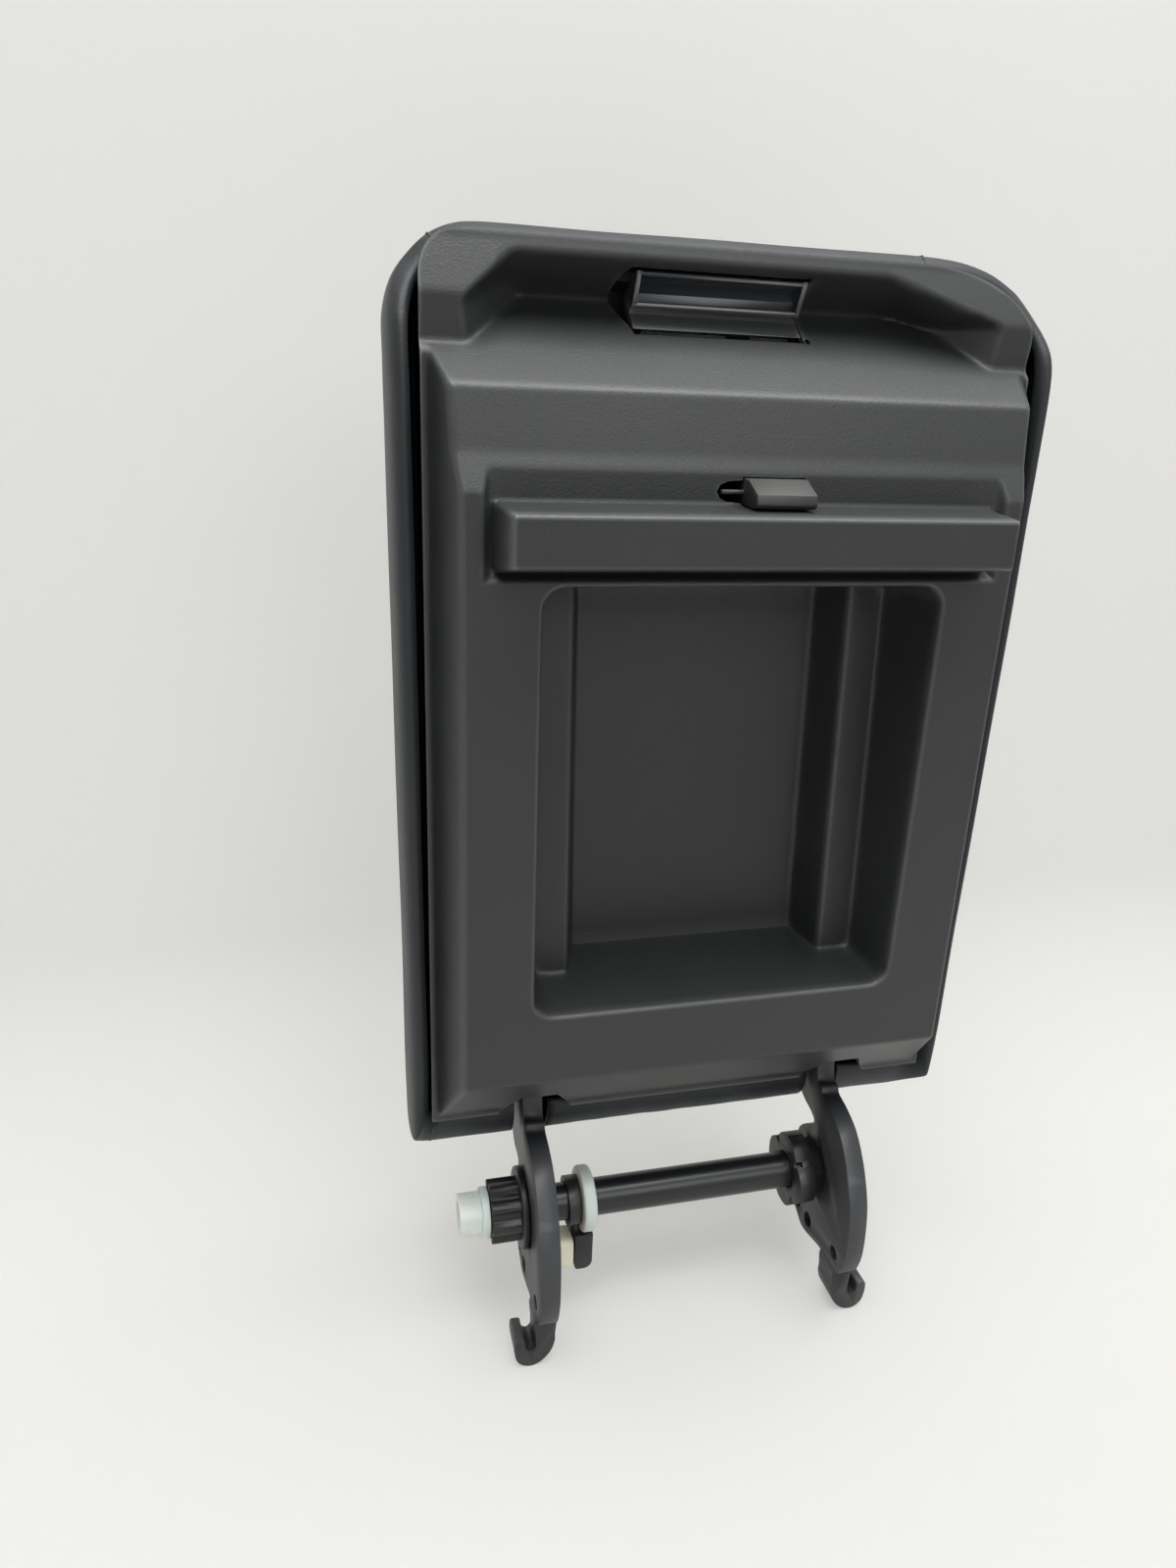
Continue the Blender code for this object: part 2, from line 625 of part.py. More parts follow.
def build_padded_top(parent, plastic, foam, vinyl):
    """Carrier pan, foam and cover, one inside the other."""
    carrier_outer = carrier_profiles()
    carrier_inner = [set_back(profile, CARRIER_WALL) for profile in carrier_outer]
    carrier = to_object("carrier", cup(carrier_outer, carrier_inner), plastic, parent)
    cover_outer = cover_profiles()
    cover_inner = [set_back(profile, COVER_SKIN) for profile in cover_outer]
    cover = to_object("cover", cup(cover_outer, cover_inner), vinyl, parent)
    foam_outer = [set_back(profile, COVER_SKIN + GAP)[4:] for profile in cover_outer]
    foam_inner = [set_back(profile, -GAP) for profile in carrier_outer]
    foam_pad = to_object("foam_pad", cup(foam_outer, foam_inner), foam, parent)
    for piece in (carrier, foam_pad, cover):
        boolean(piece, "DIFFERENCE", slots_for_arms(parent, f"{piece.name}_slot"))
        round_shading(piece, 40)


def arm_outline(side):
    """Cranked arm in its (y, z) plane: down the front edge, round the foot and eye, up the back."""
    front = [
        (ARM_FOOT_TOP_Y, CARRIER_FLOOR_Z + GAP + ARM_FOOT_THICK + 8),
        (ARM_FOOT_BOTTOM_Y + 6, -12.0),
        (50.4, -7.5),
        (40.1, -4.7),
        (39.4, -1.0),
        (36.6, 0.6),
        (34.6, 8.4),
        (30.8, 17.3),
        (24.3, 24.0),
        (15.9, 29.6),
        (4.7, 34.2),
        (-8.4, 35.8),
        (-19.6, 35.5),
        (-29.6, 32.4),
        (-31.6, 29.6),
        (-32.6, HOOK_BACK_Z - 3.0),
        (-36.2, -1.2),
        (-33.7, -7.8),
        (-27.2, -16.6),
    ]
    eye = [(EYE_RADIUS * math.sin(math.radians(a)), -EYE_RADIUS * math.cos(math.radians(a)))
           for a in (-42, -20, 0, 18, 36)]
    if side < 0:
        neck = [(12.4, -16.8), (13.4, -27.0), (24.0, CARRIER_FLOOR_Z + 2.4)]
    else:
        neck = [(15.6, -8.0), (20.6, -3.6), (24.1, -14.2), (30.0, CARRIER_FLOOR_Z + 8.0)]
    heel = [(ARM_FOOT_BOTTOM_Y, CARRIER_FLOOR_Z + 2.4), (ARM_FOOT_BOTTOM_Y, CARRIER_FLOOR_Z + GAP),
            (ARM_FOOT_TOP_Y, CARRIER_FLOOR_Z + GAP)]
    return front + eye + neck + heel


def hook_outline(side):
    """Hook at the arm's lower end in the (x, y) plane, curling outwards."""
    inner, outer = ARM_MID_X - ARM_THICK / 2, ARM_MID_X + ARM_THICK / 2
    low = HOOK_BOTTOM_Y
    half = [(inner, -31.0), (inner, low + 14), (inner + 1.6, low + 6), (inner + 5.6, low + 1.2),
            (inner + 10.4, low), (inner + 14.8, low + 3), (outer + 8.4, low + 9), (outer + 8.4, low + 17),
            (outer + 4.4, low + 17), (outer + 4.2, low + 10.6), (outer + 1.8, low + 8),
            (outer, low + 9.6), (outer, -31.0)]
    return [(side * x, y) for x, y in half]


def build_screw(name, place, head_z, parent, metal):
    """A pan head screw standing in the carrier's floor; gives back the cutter for its hole."""
    low = CARRIER_FLOOR_Z - CARRIER_WALL * 0.6
    profile = (
        (SCREW_RADIUS, low),
        (SCREW_RADIUS, head_z),
        (SCREW_HEAD_RADIUS, head_z),
        (SCREW_HEAD_RADIUS, head_z + SCREW_HEAD * 0.6),
        (SCREW_HEAD_RADIUS * 0.7, head_z + SCREW_HEAD),
    )
    shape = bmesh.new()
    add_rings(shape, [[(x, y, z) for x, y in circle(radius, 12, place)] for radius, z in profile])
    round_shading(to_object(name, shape, metal, parent))
    return guide("screw_hole", stud(SCREW_RADIUS + GAP, 12, low - GAP, head_z - GAP / 2, place), parent)


def build_arm(side, parent, metal, screw_metal, bush_plastic):
    name = "left" if side < 0 else "right"
    middle = side * ARM_MID_X
    half = ARM_THICK / 2
    arm = to_object(f"{name}_arm", prism(arm_outline(side), middle - half, middle + half, "x"), metal, parent)
    hook = guide("hook", prism(hook_outline(side), HOOK_BACK_Z, HOOK_FRONT_Z), parent)
    foot_floor = CARRIER_FLOOR_Z + GAP
    foot = guide("foot", box((middle - ARM_FOOT_HALF_W, ARM_FOOT_BOTTOM_Y + 1, foot_floor),
                             (middle + ARM_FOOT_HALF_W, ARM_FOOT_TOP_Y - 1, foot_floor + ARM_FOOT_THICK)), parent)
    boolean(arm, "UNION", (hook, foot))
    bore = ROD_RADIUS + GAP + BUSH_WALL + GAP
    cutters = [guide("eye_bore", turned(((middle - 2 * half, bore), (middle + 2 * half, bore)), 24), parent)]
    for y, z, radius in ((-27.6, -9.0, 2.6), (-28.6, 1.6, 3.4), (-24.6, 26.0, 3.0)):
        hole = turned(((middle - 2 * half, radius), (middle + 2 * half, radius)), 12, (y, z))
        cutters.append(guide("arm_hole", hole, parent))
    screw_places = []
    for offset in (-1, 1):
        x = middle + offset * (ARM_FOOT_HALF_W + half) / 2
        y = (ARM_FOOT_BOTTOM_Y + ARM_FOOT_TOP_Y) / 2
        screw_places.append((x, y))
        cutters.append(guide("screw_hole", stud(SCREW_RADIUS + GAP, 12, foot_floor - 1, FLANGE_Z, (x, y)), parent))
    boolean(arm, "DIFFERENCE", cutters)
    for number, place in enumerate(screw_places, 1):
        head_z = foot_floor + ARM_FOOT_THICK + GAP
        hole = build_screw(f"arm_screw_{name}_{number}", place, head_z, parent, screw_metal)
        boolean(bpy.data.objects["carrier"], "DIFFERENCE", [hole])
    inside, outside = ROD_RADIUS + GAP, ROD_RADIUS + GAP + BUSH_WALL
    reach = half - GAP
    bush = turned_ring(((middle - reach, inside), (middle - reach, outside), (middle + reach, outside),
                        (middle + reach, inside)), 24)
    round_shading(to_object(f"{name}_arm_bush", bush, bush_plastic, parent))


def build_hinge(black, nylon_black, nylon_white, rubber, steel):
    """Rod with bush, cap, collar, stop tab, bumper, boss and clip; they stay with the console."""
    eye_face = ARM_MID_X + ARM_THICK / 2 + GAP
    inner_face = ARM_MID_X - ARM_THICK / 2 - GAP
    bore = ROD_RADIUS + GAP
    stud_radius = ROD_RADIUS * 0.6
    shoulder = TEETH_LEFT_X + 2
    groove = ROD_RADIUS - 1.2
    rod_profile = (
        (TEETH_LEFT_X - CAP_WIDTH * 0.7, stud_radius),
        (shoulder, stud_radius),
        (shoulder, ROD_RADIUS),
        (CLIP_X - GAP, ROD_RADIUS),
        (CLIP_X - GAP, groove),
        (CLIP_X + CLIP_WIDTH + GAP, groove),
        (CLIP_X + CLIP_WIDTH + GAP, ROD_RADIUS),
        (ROD_RIGHT_X, ROD_RADIUS),
    )
    round_shading(to_object("hinge_rod", turned(rod_profile, 32), black, None))

    flange = turned(((-eye_face - FLANGE_WIDTH, FLANGE_RADIUS), (-eye_face, FLANGE_RADIUS)), 32)
    bush = to_object("toothed_bush", flange, nylon_black, None)
    teeth = []
    for i in range(TEETH):
        for offset, radius in ((-0.34, TEETH_ROOT), (-0.2, TEETH_RADIUS), (0.2, TEETH_RADIUS), (0.34, TEETH_ROOT)):
            angle = 2 * math.pi * (i + offset) / TEETH
            teeth.append((radius * math.cos(angle), radius * math.sin(angle)))
    gear = guide("bush_teeth", prism(teeth, TEETH_LEFT_X, -eye_face - FLANGE_WIDTH / 2, "x"), None)
    boolean(bush, "UNION", [gear])
    bush_bore = guide("bush_bore", turned(((TEETH_LEFT_X - 5, bore), (-eye_face + 5, bore)), 32), None)
    boolean(bush, "DIFFERENCE", [bush_bore])

    cap_right = TEETH_LEFT_X - GAP
    cap_left = cap_right - CAP_WIDTH
    cap_bore = stud_radius + GAP
    cap = turned_ring(((cap_right, cap_bore), (cap_right, CAP_RADIUS), (cap_right - 3, CAP_RADIUS),
                       (cap_right - 4, CAP_RADIUS * 0.84), (cap_left + 1, CAP_RADIUS * 0.84),
                       (cap_left, CAP_RADIUS * 0.74), (cap_left, cap_bore)), 24)
    round_shading(to_object("end_cap", cap, nylon_white, None))

    half = COLLAR_WIDTH / 2
    collar = turned_ring(((COLLAR_X - half, bore), (COLLAR_X - half, COLLAR_RADIUS - 0.8),
                          (COLLAR_X - half + 0.8, COLLAR_RADIUS), (COLLAR_X + half - 0.8, COLLAR_RADIUS),
                          (COLLAR_X + half, COLLAR_RADIUS - 0.8), (COLLAR_X + half, bore)), 32)
    round_shading(to_object("collar_ring", collar, nylon_white, None))

    sleeve_left = COLLAR_X - half - GAP - 5.0
    sleeve_right = COLLAR_X - half - GAP
    sleeve = turned(((sleeve_left, bore + 2.0), (sleeve_right, bore + 2.0)), 24)
    tab = to_object("stop_tab", sleeve, nylon_black, None)
    tab_top = -COLLAR_RADIUS - GAP
    tab_z = TAB_HALF_DEPTH
    tab_left, tab_right = sleeve_right - 1.5, COLLAR_X + half
    outline = [(tab_top, -tab_z), (tab_top, tab_z)]
    outline += [(TAB_BOTTOM_Y + tab_z - tab_z * math.sin(a), tab_z * math.cos(a))
                for a in (0, math.pi / 4, math.pi / 2, 3 * math.pi / 4, math.pi)]
    plate = guide("tab_plate", prism(outline, tab_left, tab_right, "x"), None)
    neck = guide("tab_neck", prism(((-bore - 1, -4.5), (-bore - 1, 4.5), (tab_top - 4, 4.5), (tab_top - 4, -4.5)),
                                   tab_left, sleeve_right, "x"), None)
    boolean(tab, "UNION", [plate, neck])
    tab_bore = guide("tab_bore", turned(((sleeve_left - 5, bore), (sleeve_right + 5, bore)), 24), None)
    boolean(tab, "DIFFERENCE", [tab_bore])

    pad_right = tab_left - GAP
    pad = box((pad_right - PAD_WIDTH, TAB_BOTTOM_Y, -tab_z + 1), (pad_right, tab_top - 2.6, tab_z))
    bump_pad = to_object("bump_pad", pad, rubber, None)
    edge = bump_pad.modifiers.new("rounded", "BEVEL")
    edge.width = 1.2 * MM
    edge.segments = 2

    disc_left = inner_face - BOSS_WIDTH - 2
    lobes = []
    for i in range(BOSS_LOBES * 8):
        angle = 2 * math.pi * i / (BOSS_LOBES * 8)
        radius = BOSS_RADIUS - 2.6 * (0.5 - 0.5 * math.cos(BOSS_LOBES * angle)) ** 2
        lobes.append((radius * math.cos(angle), radius * math.sin(angle)))
    boss = to_object("right_boss", prism(lobes, disc_left, disc_left + 7, "x"), nylon_black, None)
    hub = guide("boss_hub", turned(((disc_left + 4, bore + 4), (inner_face, bore + 4)), 28), None)
    boolean(boss, "UNION", [hub])
    boss_bore = guide("boss_bore", turned(((disc_left - 5, bore), (inner_face + 5, bore)), 28), None)
    boolean(boss, "DIFFERENCE", [boss_bore])

    clip = turned_ring(((CLIP_X, groove + GAP), (CLIP_X, CLIP_RADIUS), (CLIP_X + CLIP_WIDTH, CLIP_RADIUS),
                        (CLIP_X + CLIP_WIDTH, groove + GAP)), 24)
    round_shading(to_object("retaining_clip", clip, steel, None))


def coil(axis_x, centre, radius, turns):
    """A wire coil about an axis along x, starting at axis_x."""
    shape = bmesh.new()
    per_turn, sides = 12, 6
    rings = []
    pitch = SPRING_WIRE * 1.5
    for i in range(turns * per_turn + 1):
        angle = 2 * math.pi * i / per_turn
        x = axis_x + pitch * i / per_turn
        ring = []
        for dx, dr in circle(SPRING_WIRE / 2, sides):
            reach = radius + dr
            ring.append((x + dx, centre[0] + reach * math.cos(angle), centre[1] + reach * math.sin(angle)))
        rings.append(ring)
    add_rings(shape, rings)
    return shape


def build_latch(lid, paddle_axis, black_gloss, grey, plastic, steel):
    pivot = (PADDLE_PIVOT_Y, PADDLE_PIVOT_Z)
    at_pivot = (0.0, PADDLE_PIVOT_Y, PADDLE_PIVOT_Z)
    left, right = PADDLE_X - PADDLE_HALF_W, PADDLE_X + PADDLE_HALF_W
    skin = [(333.2, -15.8), (339.4, -24.4), (340.2, -21.6), (342.0, -20.6), (345.6, -17.6), (348.6, -12.8),
            (349.6, -10.2), (PADDLE_TOP_Y, -10.6), (PADDLE_TOP_Y, -15.6), (344.9, -28.9), (341.9, -29.8),
            (333.7, -19.2)]
    paddle = to_object("latch_paddle", prism(skin, left, right, "x"), black_gloss, paddle_axis, at_pivot)
    parts = []
    spans = ((left, left + EAR_WALL), (right - EAR_WALL, right),
             (PAWL_X - LEVER_HALF_W, PAWL_X + LEVER_HALF_W))
    for low, high in spans:
        ear = [(PADDLE_PIVOT_Y + 1.6, -19.4), (PADDLE_PIVOT_Y + 6.4, -26.4)]
        ear += [(PADDLE_PIVOT_Y + EAR_RADIUS * math.cos(a), PADDLE_PIVOT_Z + EAR_RADIUS * math.sin(a))
                for a in [math.radians(v) for v in (-30, -90, -150, 180, 135)]]
        parts.append(guide("paddle_ear", prism(ear, low, high, "x"), paddle_axis, at_pivot))
    half = LEVER_THICK / 2
    lever = box((PAWL_X - LEVER_HALF_W, PADDLE_PIVOT_Y - half, LEVER_END_Z),
                (PAWL_X + LEVER_HALF_W, PADDLE_PIVOT_Y + half, PADDLE_PIVOT_Z))
    parts.append(guide("paddle_lever", lever, paddle_axis, at_pivot))
    boolean(paddle, "UNION", parts)
    hole = turned(((left - 5, PIN_RADIUS + GAP), (right + 5, PIN_RADIUS + GAP)), 12, pivot)
    boolean(paddle, "DIFFERENCE", [guide("paddle_bore", hole, paddle_axis, at_pivot)])

    ear_in = PADDLE_HALF_W + GAP
    ear_out = ear_in + EAR_WALL
    pin = turned(((PADDLE_X - ear_out, PIN_RADIUS), (PADDLE_X + ear_out, PIN_RADIUS)), 12, pivot)
    round_shading(to_object("paddle_pin", pin, steel, lid))
    to_object("paddle_spring", coil(left + EAR_WALL + 2, pivot, PIN_RADIUS + GAP + SPRING_WIRE / 2, 6), steel, lid)

    base_low = CARRIER_FLOOR_Z + GAP
    base_top = base_low + BRACKET_THICK
    bracket = to_object("latch_bracket", box(
        (PADDLE_X - BRACKET_HALF_W, BRACKET_HINGE_Y, base_low),
        (PADDLE_X + BRACKET_HALF_W, BRACKET_FRONT_Y, base_top)), plastic, lid)
    joined = []
    for side in (-1, 1):
        near, far = PADDLE_X + side * ear_in, PADDLE_X + side * ear_out
        ear = [(PADDLE_PIVOT_Y - EAR_RADIUS, base_top - 1), (PADDLE_PIVOT_Y + EAR_RADIUS, base_top - 1)]
        ear += [(PADDLE_PIVOT_Y + EAR_RADIUS * math.cos(a), PADDLE_PIVOT_Z + EAR_RADIUS * math.sin(a))
                for a in [math.radians(v) for v in (0, 45, 90, 135, 180)]]
        joined.append(guide("pin_ear", prism(ear, min(near, far), max(near, far), "x"), lid))
        near = PAWL_X + side * (PAWL_STEM_HALF_W + GAP)
        far = near + side * GUIDE_WALL
        joined.append(guide("pawl_guide", box((min(near, far), PAWL_BOTTOM_Y + 0.6, base_top - 1),
                                              (max(near, far), PAWL_TOP_Y - 0.6, GUIDE_TOP_Z)), lid))
    boolean(bracket, "UNION", joined)
    pawl_y = (PAWL_BOTTOM_Y + PAWL_TOP_Y) / 2
    guide_out = PAWL_STEM_HALF_W + GAP + GUIDE_WALL
    holes = [guide("pin_bore", turned(((PADDLE_X - 2 * ear_out, PIN_RADIUS + GAP),
                                       (PADDLE_X + 2 * ear_out, PIN_RADIUS + GAP)), 12, pivot), lid),
             guide("pawl_pin_bore", turned(((PAWL_X - 2 * guide_out, PIN_RADIUS + GAP),
                                            (PAWL_X + 2 * guide_out, PIN_RADIUS + GAP)), 12,
                                           (pawl_y, PAWL_PIN_Z)), lid)]
    screw_x = BRACKET_HALF_W - 6
    places = [(PADDLE_X + x, y) for x in (-screw_x, screw_x) for y in (BRACKET_HINGE_Y + 8, BRACKET_FRONT_Y - 16)]
    for number, place in enumerate(places, 1):
        holes.append(build_screw(f"bracket_screw_{number}", place, base_top + GAP, lid, steel))
    boolean(bracket, "DIFFERENCE", holes)
    boolean(bpy.data.objects["carrier"], "DIFFERENCE", holes[2:])

    pin = turned(((PAWL_X - guide_out, PIN_RADIUS), (PAWL_X + guide_out, PIN_RADIUS)), 12, (pawl_y, PAWL_PIN_Z))
    round_shading(to_object("pawl_pin", pin, steel, lid))

    wedge_top = PAWL_STEM_Z + POST_THICK + WEDGE_RISE
    link_low = LINK_TOP_Z - LINK_THICK
    post_y = WEDGE_Y + WEDGE_RUN + 2 * POST_THICK / 3
    slack = LEVER_THICK / 2 + 0.5
    link_front = PADDLE_PIVOT_Y + slack + 1.6
    link = to_object("latch_link", box((PAWL_X - LEVER_HALF_W - 1.6, post_y, link_low),
                                       (PAWL_X + LEVER_HALF_W + 1.6, link_front, LINK_TOP_Z)), grey, lid)
    post = [(post_y, link_low + 0.5), (post_y + POST_THICK, link_low + 0.5), (post_y + POST_THICK, wedge_top + 3),
            (WEDGE_Y, wedge_top + 3), (WEDGE_Y, wedge_top - WEDGE_RISE), (WEDGE_Y + WEDGE_RUN, wedge_top),
            (post_y, wedge_top)]
    boolean(link, "UNION", [guide("link_post", prism(post, PAWL_X - LEVER_HALF_W, PAWL_X + LEVER_HALF_W, "x"), lid)])
    slot = box((PAWL_X - LEVER_HALF_W - GAP, PADDLE_PIVOT_Y - slack, link_low - 5),
               (PAWL_X + LEVER_HALF_W + GAP, PADDLE_PIVOT_Y + slack, LINK_TOP_Z + 5))
    boolean(link, "DIFFERENCE", [guide("link_slot", slot, lid)])

    head = [(PAWL_BOTTOM_Y, PAWL_HEAD_Z), (PAWL_BOTTOM_Y, PAWL_Z - 1.4), (PAWL_BOTTOM_Y + 1.2, PAWL_Z),
            (PAWL_BOTTOM_Y + 4.4, PAWL_Z - 0.6), (PAWL_TOP_Y, PAWL_Z - 9), (PAWL_TOP_Y, PAWL_HEAD_Z)]
    pawl = to_object("latch_pawl", prism(head, PAWL_X - PAWL_HALF_W, PAWL_X + PAWL_HALF_W, "x"), grey, lid)
    nose_low = wedge_top - WEDGE_RISE
    stem = [(PAWL_BOTTOM_Y + 0.7, PAWL_HEAD_Z + 2), (PAWL_BOTTOM_Y + 0.7, PAWL_STEM_Z),
            (WEDGE_Y + WEDGE_RUN + 1, PAWL_STEM_Z), (WEDGE_Y + WEDGE_RUN + 1, wedge_top - GAP * 3),
            (WEDGE_Y + WEDGE_RUN + GAP / 2, wedge_top - GAP * 3), (WEDGE_Y + GAP * 1.2, nose_low - GAP * 1.2),
            (PAWL_TOP_Y - 0.7, nose_low - GAP * 1.2), (PAWL_TOP_Y - 0.7, PAWL_HEAD_Z + 2)]
    boolean(pawl, "UNION", [guide("pawl_stem", prism(stem, PAWL_X - PAWL_STEM_HALF_W, PAWL_X + PAWL_STEM_HALF_W,
                                                     "x"), lid)])
    slot = box((PAWL_X - PAWL_HALF_W, pawl_y - PIN_RADIUS - GAP, PAWL_PIN_Z - PIN_RADIUS - GAP),
               (PAWL_X + PAWL_HALF_W, pawl_y + PIN_RADIUS + GAP, PAWL_PIN_Z + PIN_RADIUS + GAP + PAWL_TRAVEL))
    boolean(pawl, "DIFFERENCE", [guide("pawl_slot", slot, lid)])
    spring_x = PAWL_X + guide_out + GAP
    to_object("pawl_spring", coil(spring_x + SPRING_WIRE, (pawl_y, PAWL_PIN_Z),
                                  PIN_RADIUS + GAP + SPRING_WIRE / 2, 4), steel, lid)


def main():
    clear_scene()
    charcoal = material("charcoal_abs", (0.045, 0.048, 0.048), 0.55)
    pan_plastic = material("black_abs", (0.02, 0.02, 0.02), 0.6)
    foam = material("foam", (0.35, 0.33, 0.28), 0.95)
    vinyl = material("vinyl_skin", (0.045, 0.05, 0.058), 0.5)
    cast_black = material("painted_casting", (0.03, 0.03, 0.032), 0.45, 0.3)
    steel = material("zinc_steel", (0.5, 0.5, 0.5), 0.35, 1.0)
    rod_black = material("black_oxide_steel", (0.012, 0.014, 0.014), 0.3, 0.5)
    nylon_black = material("black_nylon", (0.02, 0.02, 0.02), 0.45)
    nylon_white = material("white_nylon", (0.72, 0.78, 0.76), 0.5)
    rubber = material("cream_rubber", (0.75, 0.7, 0.55), 0.7)
    black_gloss = material("black_paddle_abs", (0.012, 0.012, 0.012), 0.22)
    grey = material("grey_acetal", (0.13, 0.13, 0.125), 0.5)

    lid_axis = empty("lid_axis", (0.0, 0.0, 0.0), (OPEN_ANGLE, 0.0, 0.0))
    paddle_axis = empty("paddle_axis", (0.0, PADDLE_PIVOT_Y, PADDLE_PIVOT_Z), parent=lid_axis)
    build_liner(lid_axis, charcoal)
    build_padded_top(lid_axis, pan_plastic, foam, vinyl)
    for side in (-1, 1):
        build_arm(side, lid_axis, cast_black, steel, nylon_black)
    build_hinge(rod_black, nylon_black, nylon_white, rubber, steel)
    build_latch(lid_axis, paddle_axis, black_gloss, grey, pan_plastic, steel)


main()
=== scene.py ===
"""Center console armrest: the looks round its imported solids.

Sizes in the code are millimetres in the lid's own frame: the origin lies on the hinge axis, x runs across
the lid, y from the hinge to the front end and z out of the underside. in_row() turns them into metres in
the row frame, where the opened lid's y points up (+Z) and its z forward (-Y).
"""
import math
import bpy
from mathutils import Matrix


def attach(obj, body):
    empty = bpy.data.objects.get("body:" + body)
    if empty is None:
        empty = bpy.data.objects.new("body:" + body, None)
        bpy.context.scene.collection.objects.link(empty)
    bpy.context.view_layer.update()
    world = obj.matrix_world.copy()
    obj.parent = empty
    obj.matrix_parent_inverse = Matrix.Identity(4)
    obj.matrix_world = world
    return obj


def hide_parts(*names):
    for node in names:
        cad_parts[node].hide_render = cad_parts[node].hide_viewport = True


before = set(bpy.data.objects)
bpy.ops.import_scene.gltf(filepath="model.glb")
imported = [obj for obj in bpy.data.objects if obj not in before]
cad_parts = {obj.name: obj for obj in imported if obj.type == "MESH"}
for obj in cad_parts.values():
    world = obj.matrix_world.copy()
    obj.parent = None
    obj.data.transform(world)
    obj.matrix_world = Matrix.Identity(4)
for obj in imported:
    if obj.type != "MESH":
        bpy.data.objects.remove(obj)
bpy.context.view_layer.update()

from types import SimpleNamespace

import bmesh
import bpy
import numpy as np
from mathutils import Matrix, Vector, noise

bl_info = {
    "name": "Console armrest",
    "version": (1, 0, 0),
    "blender": (4, 5, 0),
    "location": "3D View > Sidebar > Armrest",
    "description": "Builds a center console armrest lid with its hinge round the packed solids",
    "category": "Object",
}

MM = 0.001
LID = "lid"
HINGE = "hinge"

# Sizes that several pieces share, in millimetres
LINER_WALL = 2.2
SKIN_THICKNESS = 1.3
COVER_START_Y, COVER_END_Y = 26.0, 362.0
COVER_HALF_WIDTH, COVER_WIDENING = 113.2, 2.4
STITCH_PITCH, STITCH_LENGTH = 5.2, 3.4
ARM_MIDDLE_X = 64.4
EYE_BORE = 10.3
ROD_BORE = 7.9
PADDLE_PIVOT = (334.0, -24.0)
PIN_BORE = 1.65
POCKET_SIDE_CUT = (89.0, 340.5)
POCKET_CUTS = ((-1, (77.0, 353.0)), (1, (56.0, 352.4)))
# Columns of the cover's rings at its corner seams, and the rings on each side of the back seam
CORNER_COLUMNS = (32, 49, 76, 90)
STITCH_LEVELS = (9, 13)


# Small tools for meshes and materials

def in_row(points):
    """Points of the lid frame, in millimetres, as metres in the row frame."""
    points = np.asarray(points, float).reshape(-1, 3)
    return np.stack((points[:, 0], -points[:, 2], points[:, 1]), axis=1) * MM


def placed(name, data):
    """A new object in the scene."""
    thing = bpy.data.objects.new(name, data)
    bpy.context.scene.collection.objects.link(thing)
    return thing


def new_piece(name, form, finish, body, replaced=(), sharp=None):
    """A mesh from lid-frame points and faces, with its material, body and the CAD nodes it stands for."""
    points, faces = form
    mesh = bpy.data.meshes.new(name)
    mesh.from_pydata([tuple(point) for point in in_row(points)], [], faces)
    mesh.materials.append(finish)
    piece = placed(name, mesh)
    outward(piece)
    mesh.shade_smooth()
    if sharp is not None:
        mesh.set_sharp_from_angle(angle=math.radians(sharp))
    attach(piece, body)
    if replaced:
        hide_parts(*replaced)
    return piece


def outward(piece):
    """Turn every face outwards."""
    shape = bmesh.new()
    shape.from_mesh(piece.data)
    bmesh.ops.recalc_face_normals(shape, faces=shape.faces)
    shape.to_mesh(piece.data)
    shape.free()


def apply_modifiers(piece):
    """Keep the result of the piece's modifiers as its mesh."""
    depsgraph = bpy.context.evaluated_depsgraph_get()
    depsgraph.update()
    result = bpy.data.meshes.new_from_object(piece.evaluated_get(depsgraph))
    piece.modifiers.clear()
    piece.data = result


def soften_edges(piece, width, segments, angle, sharp=None):
    """Round the piece's edges, as moulding or casting leaves them; sharp is where its shading breaks."""
    step = piece.modifiers.new("edge radius", "BEVEL")
    step.width = width * MM
    step.segments = segments
    step.limit_method = "ANGLE"
    step.angle_limit = math.radians(angle)
    step.harden_normals = True
    apply_modifiers(piece)
    if sharp is not None:
        piece.data.set_sharp_from_angle(angle=math.radians(sharp))


def join_rings(rings, closed=False):
    """Faces between rings of as many points each; closed joins the last ring to the first."""
    count = len(rings[0])
    faces = []
    pairs = list(zip(range(len(rings) - 1), range(1, len(rings))))
    if closed:
        pairs.append((len(rings) - 1, 0))
    for low, high in pairs:
        for i in range(count):
            j = (i + 1) % count
            faces.append((low * count + i, low * count + j, high * count + j, high * count + i))
    if not closed:
        faces.append(tuple(range(count - 1, -1, -1)))
        faces.append(tuple(range((len(rings) - 1) * count, len(rings) * count)))
    return [point for ring in rings for point in ring], faces


def lathe(profile, count, centre=(0.0, 0.0), ring=False):
    """A shape turned about an axis along x, from (x, radius) pairs; ring closes the profile on itself."""
    rings = []
    for x, radius in profile:
        rings.append([(x, centre[0] + radius * math.cos(2 * math.pi * i / count),
                       centre[1] + radius * math.sin(2 * math.pi * i / count)) for i in range(count)])
    return join_rings(rings, closed=ring)


def extrude(outline, low, high, axis="x"):
    """An outline pushed along an axis: (y, z) pairs along x, or (x, y) pairs along z."""
    return join_rings([[(depth, u, v) if axis == "x" else (u, v, depth) for u, v in outline]
                       for depth in (low, high)])


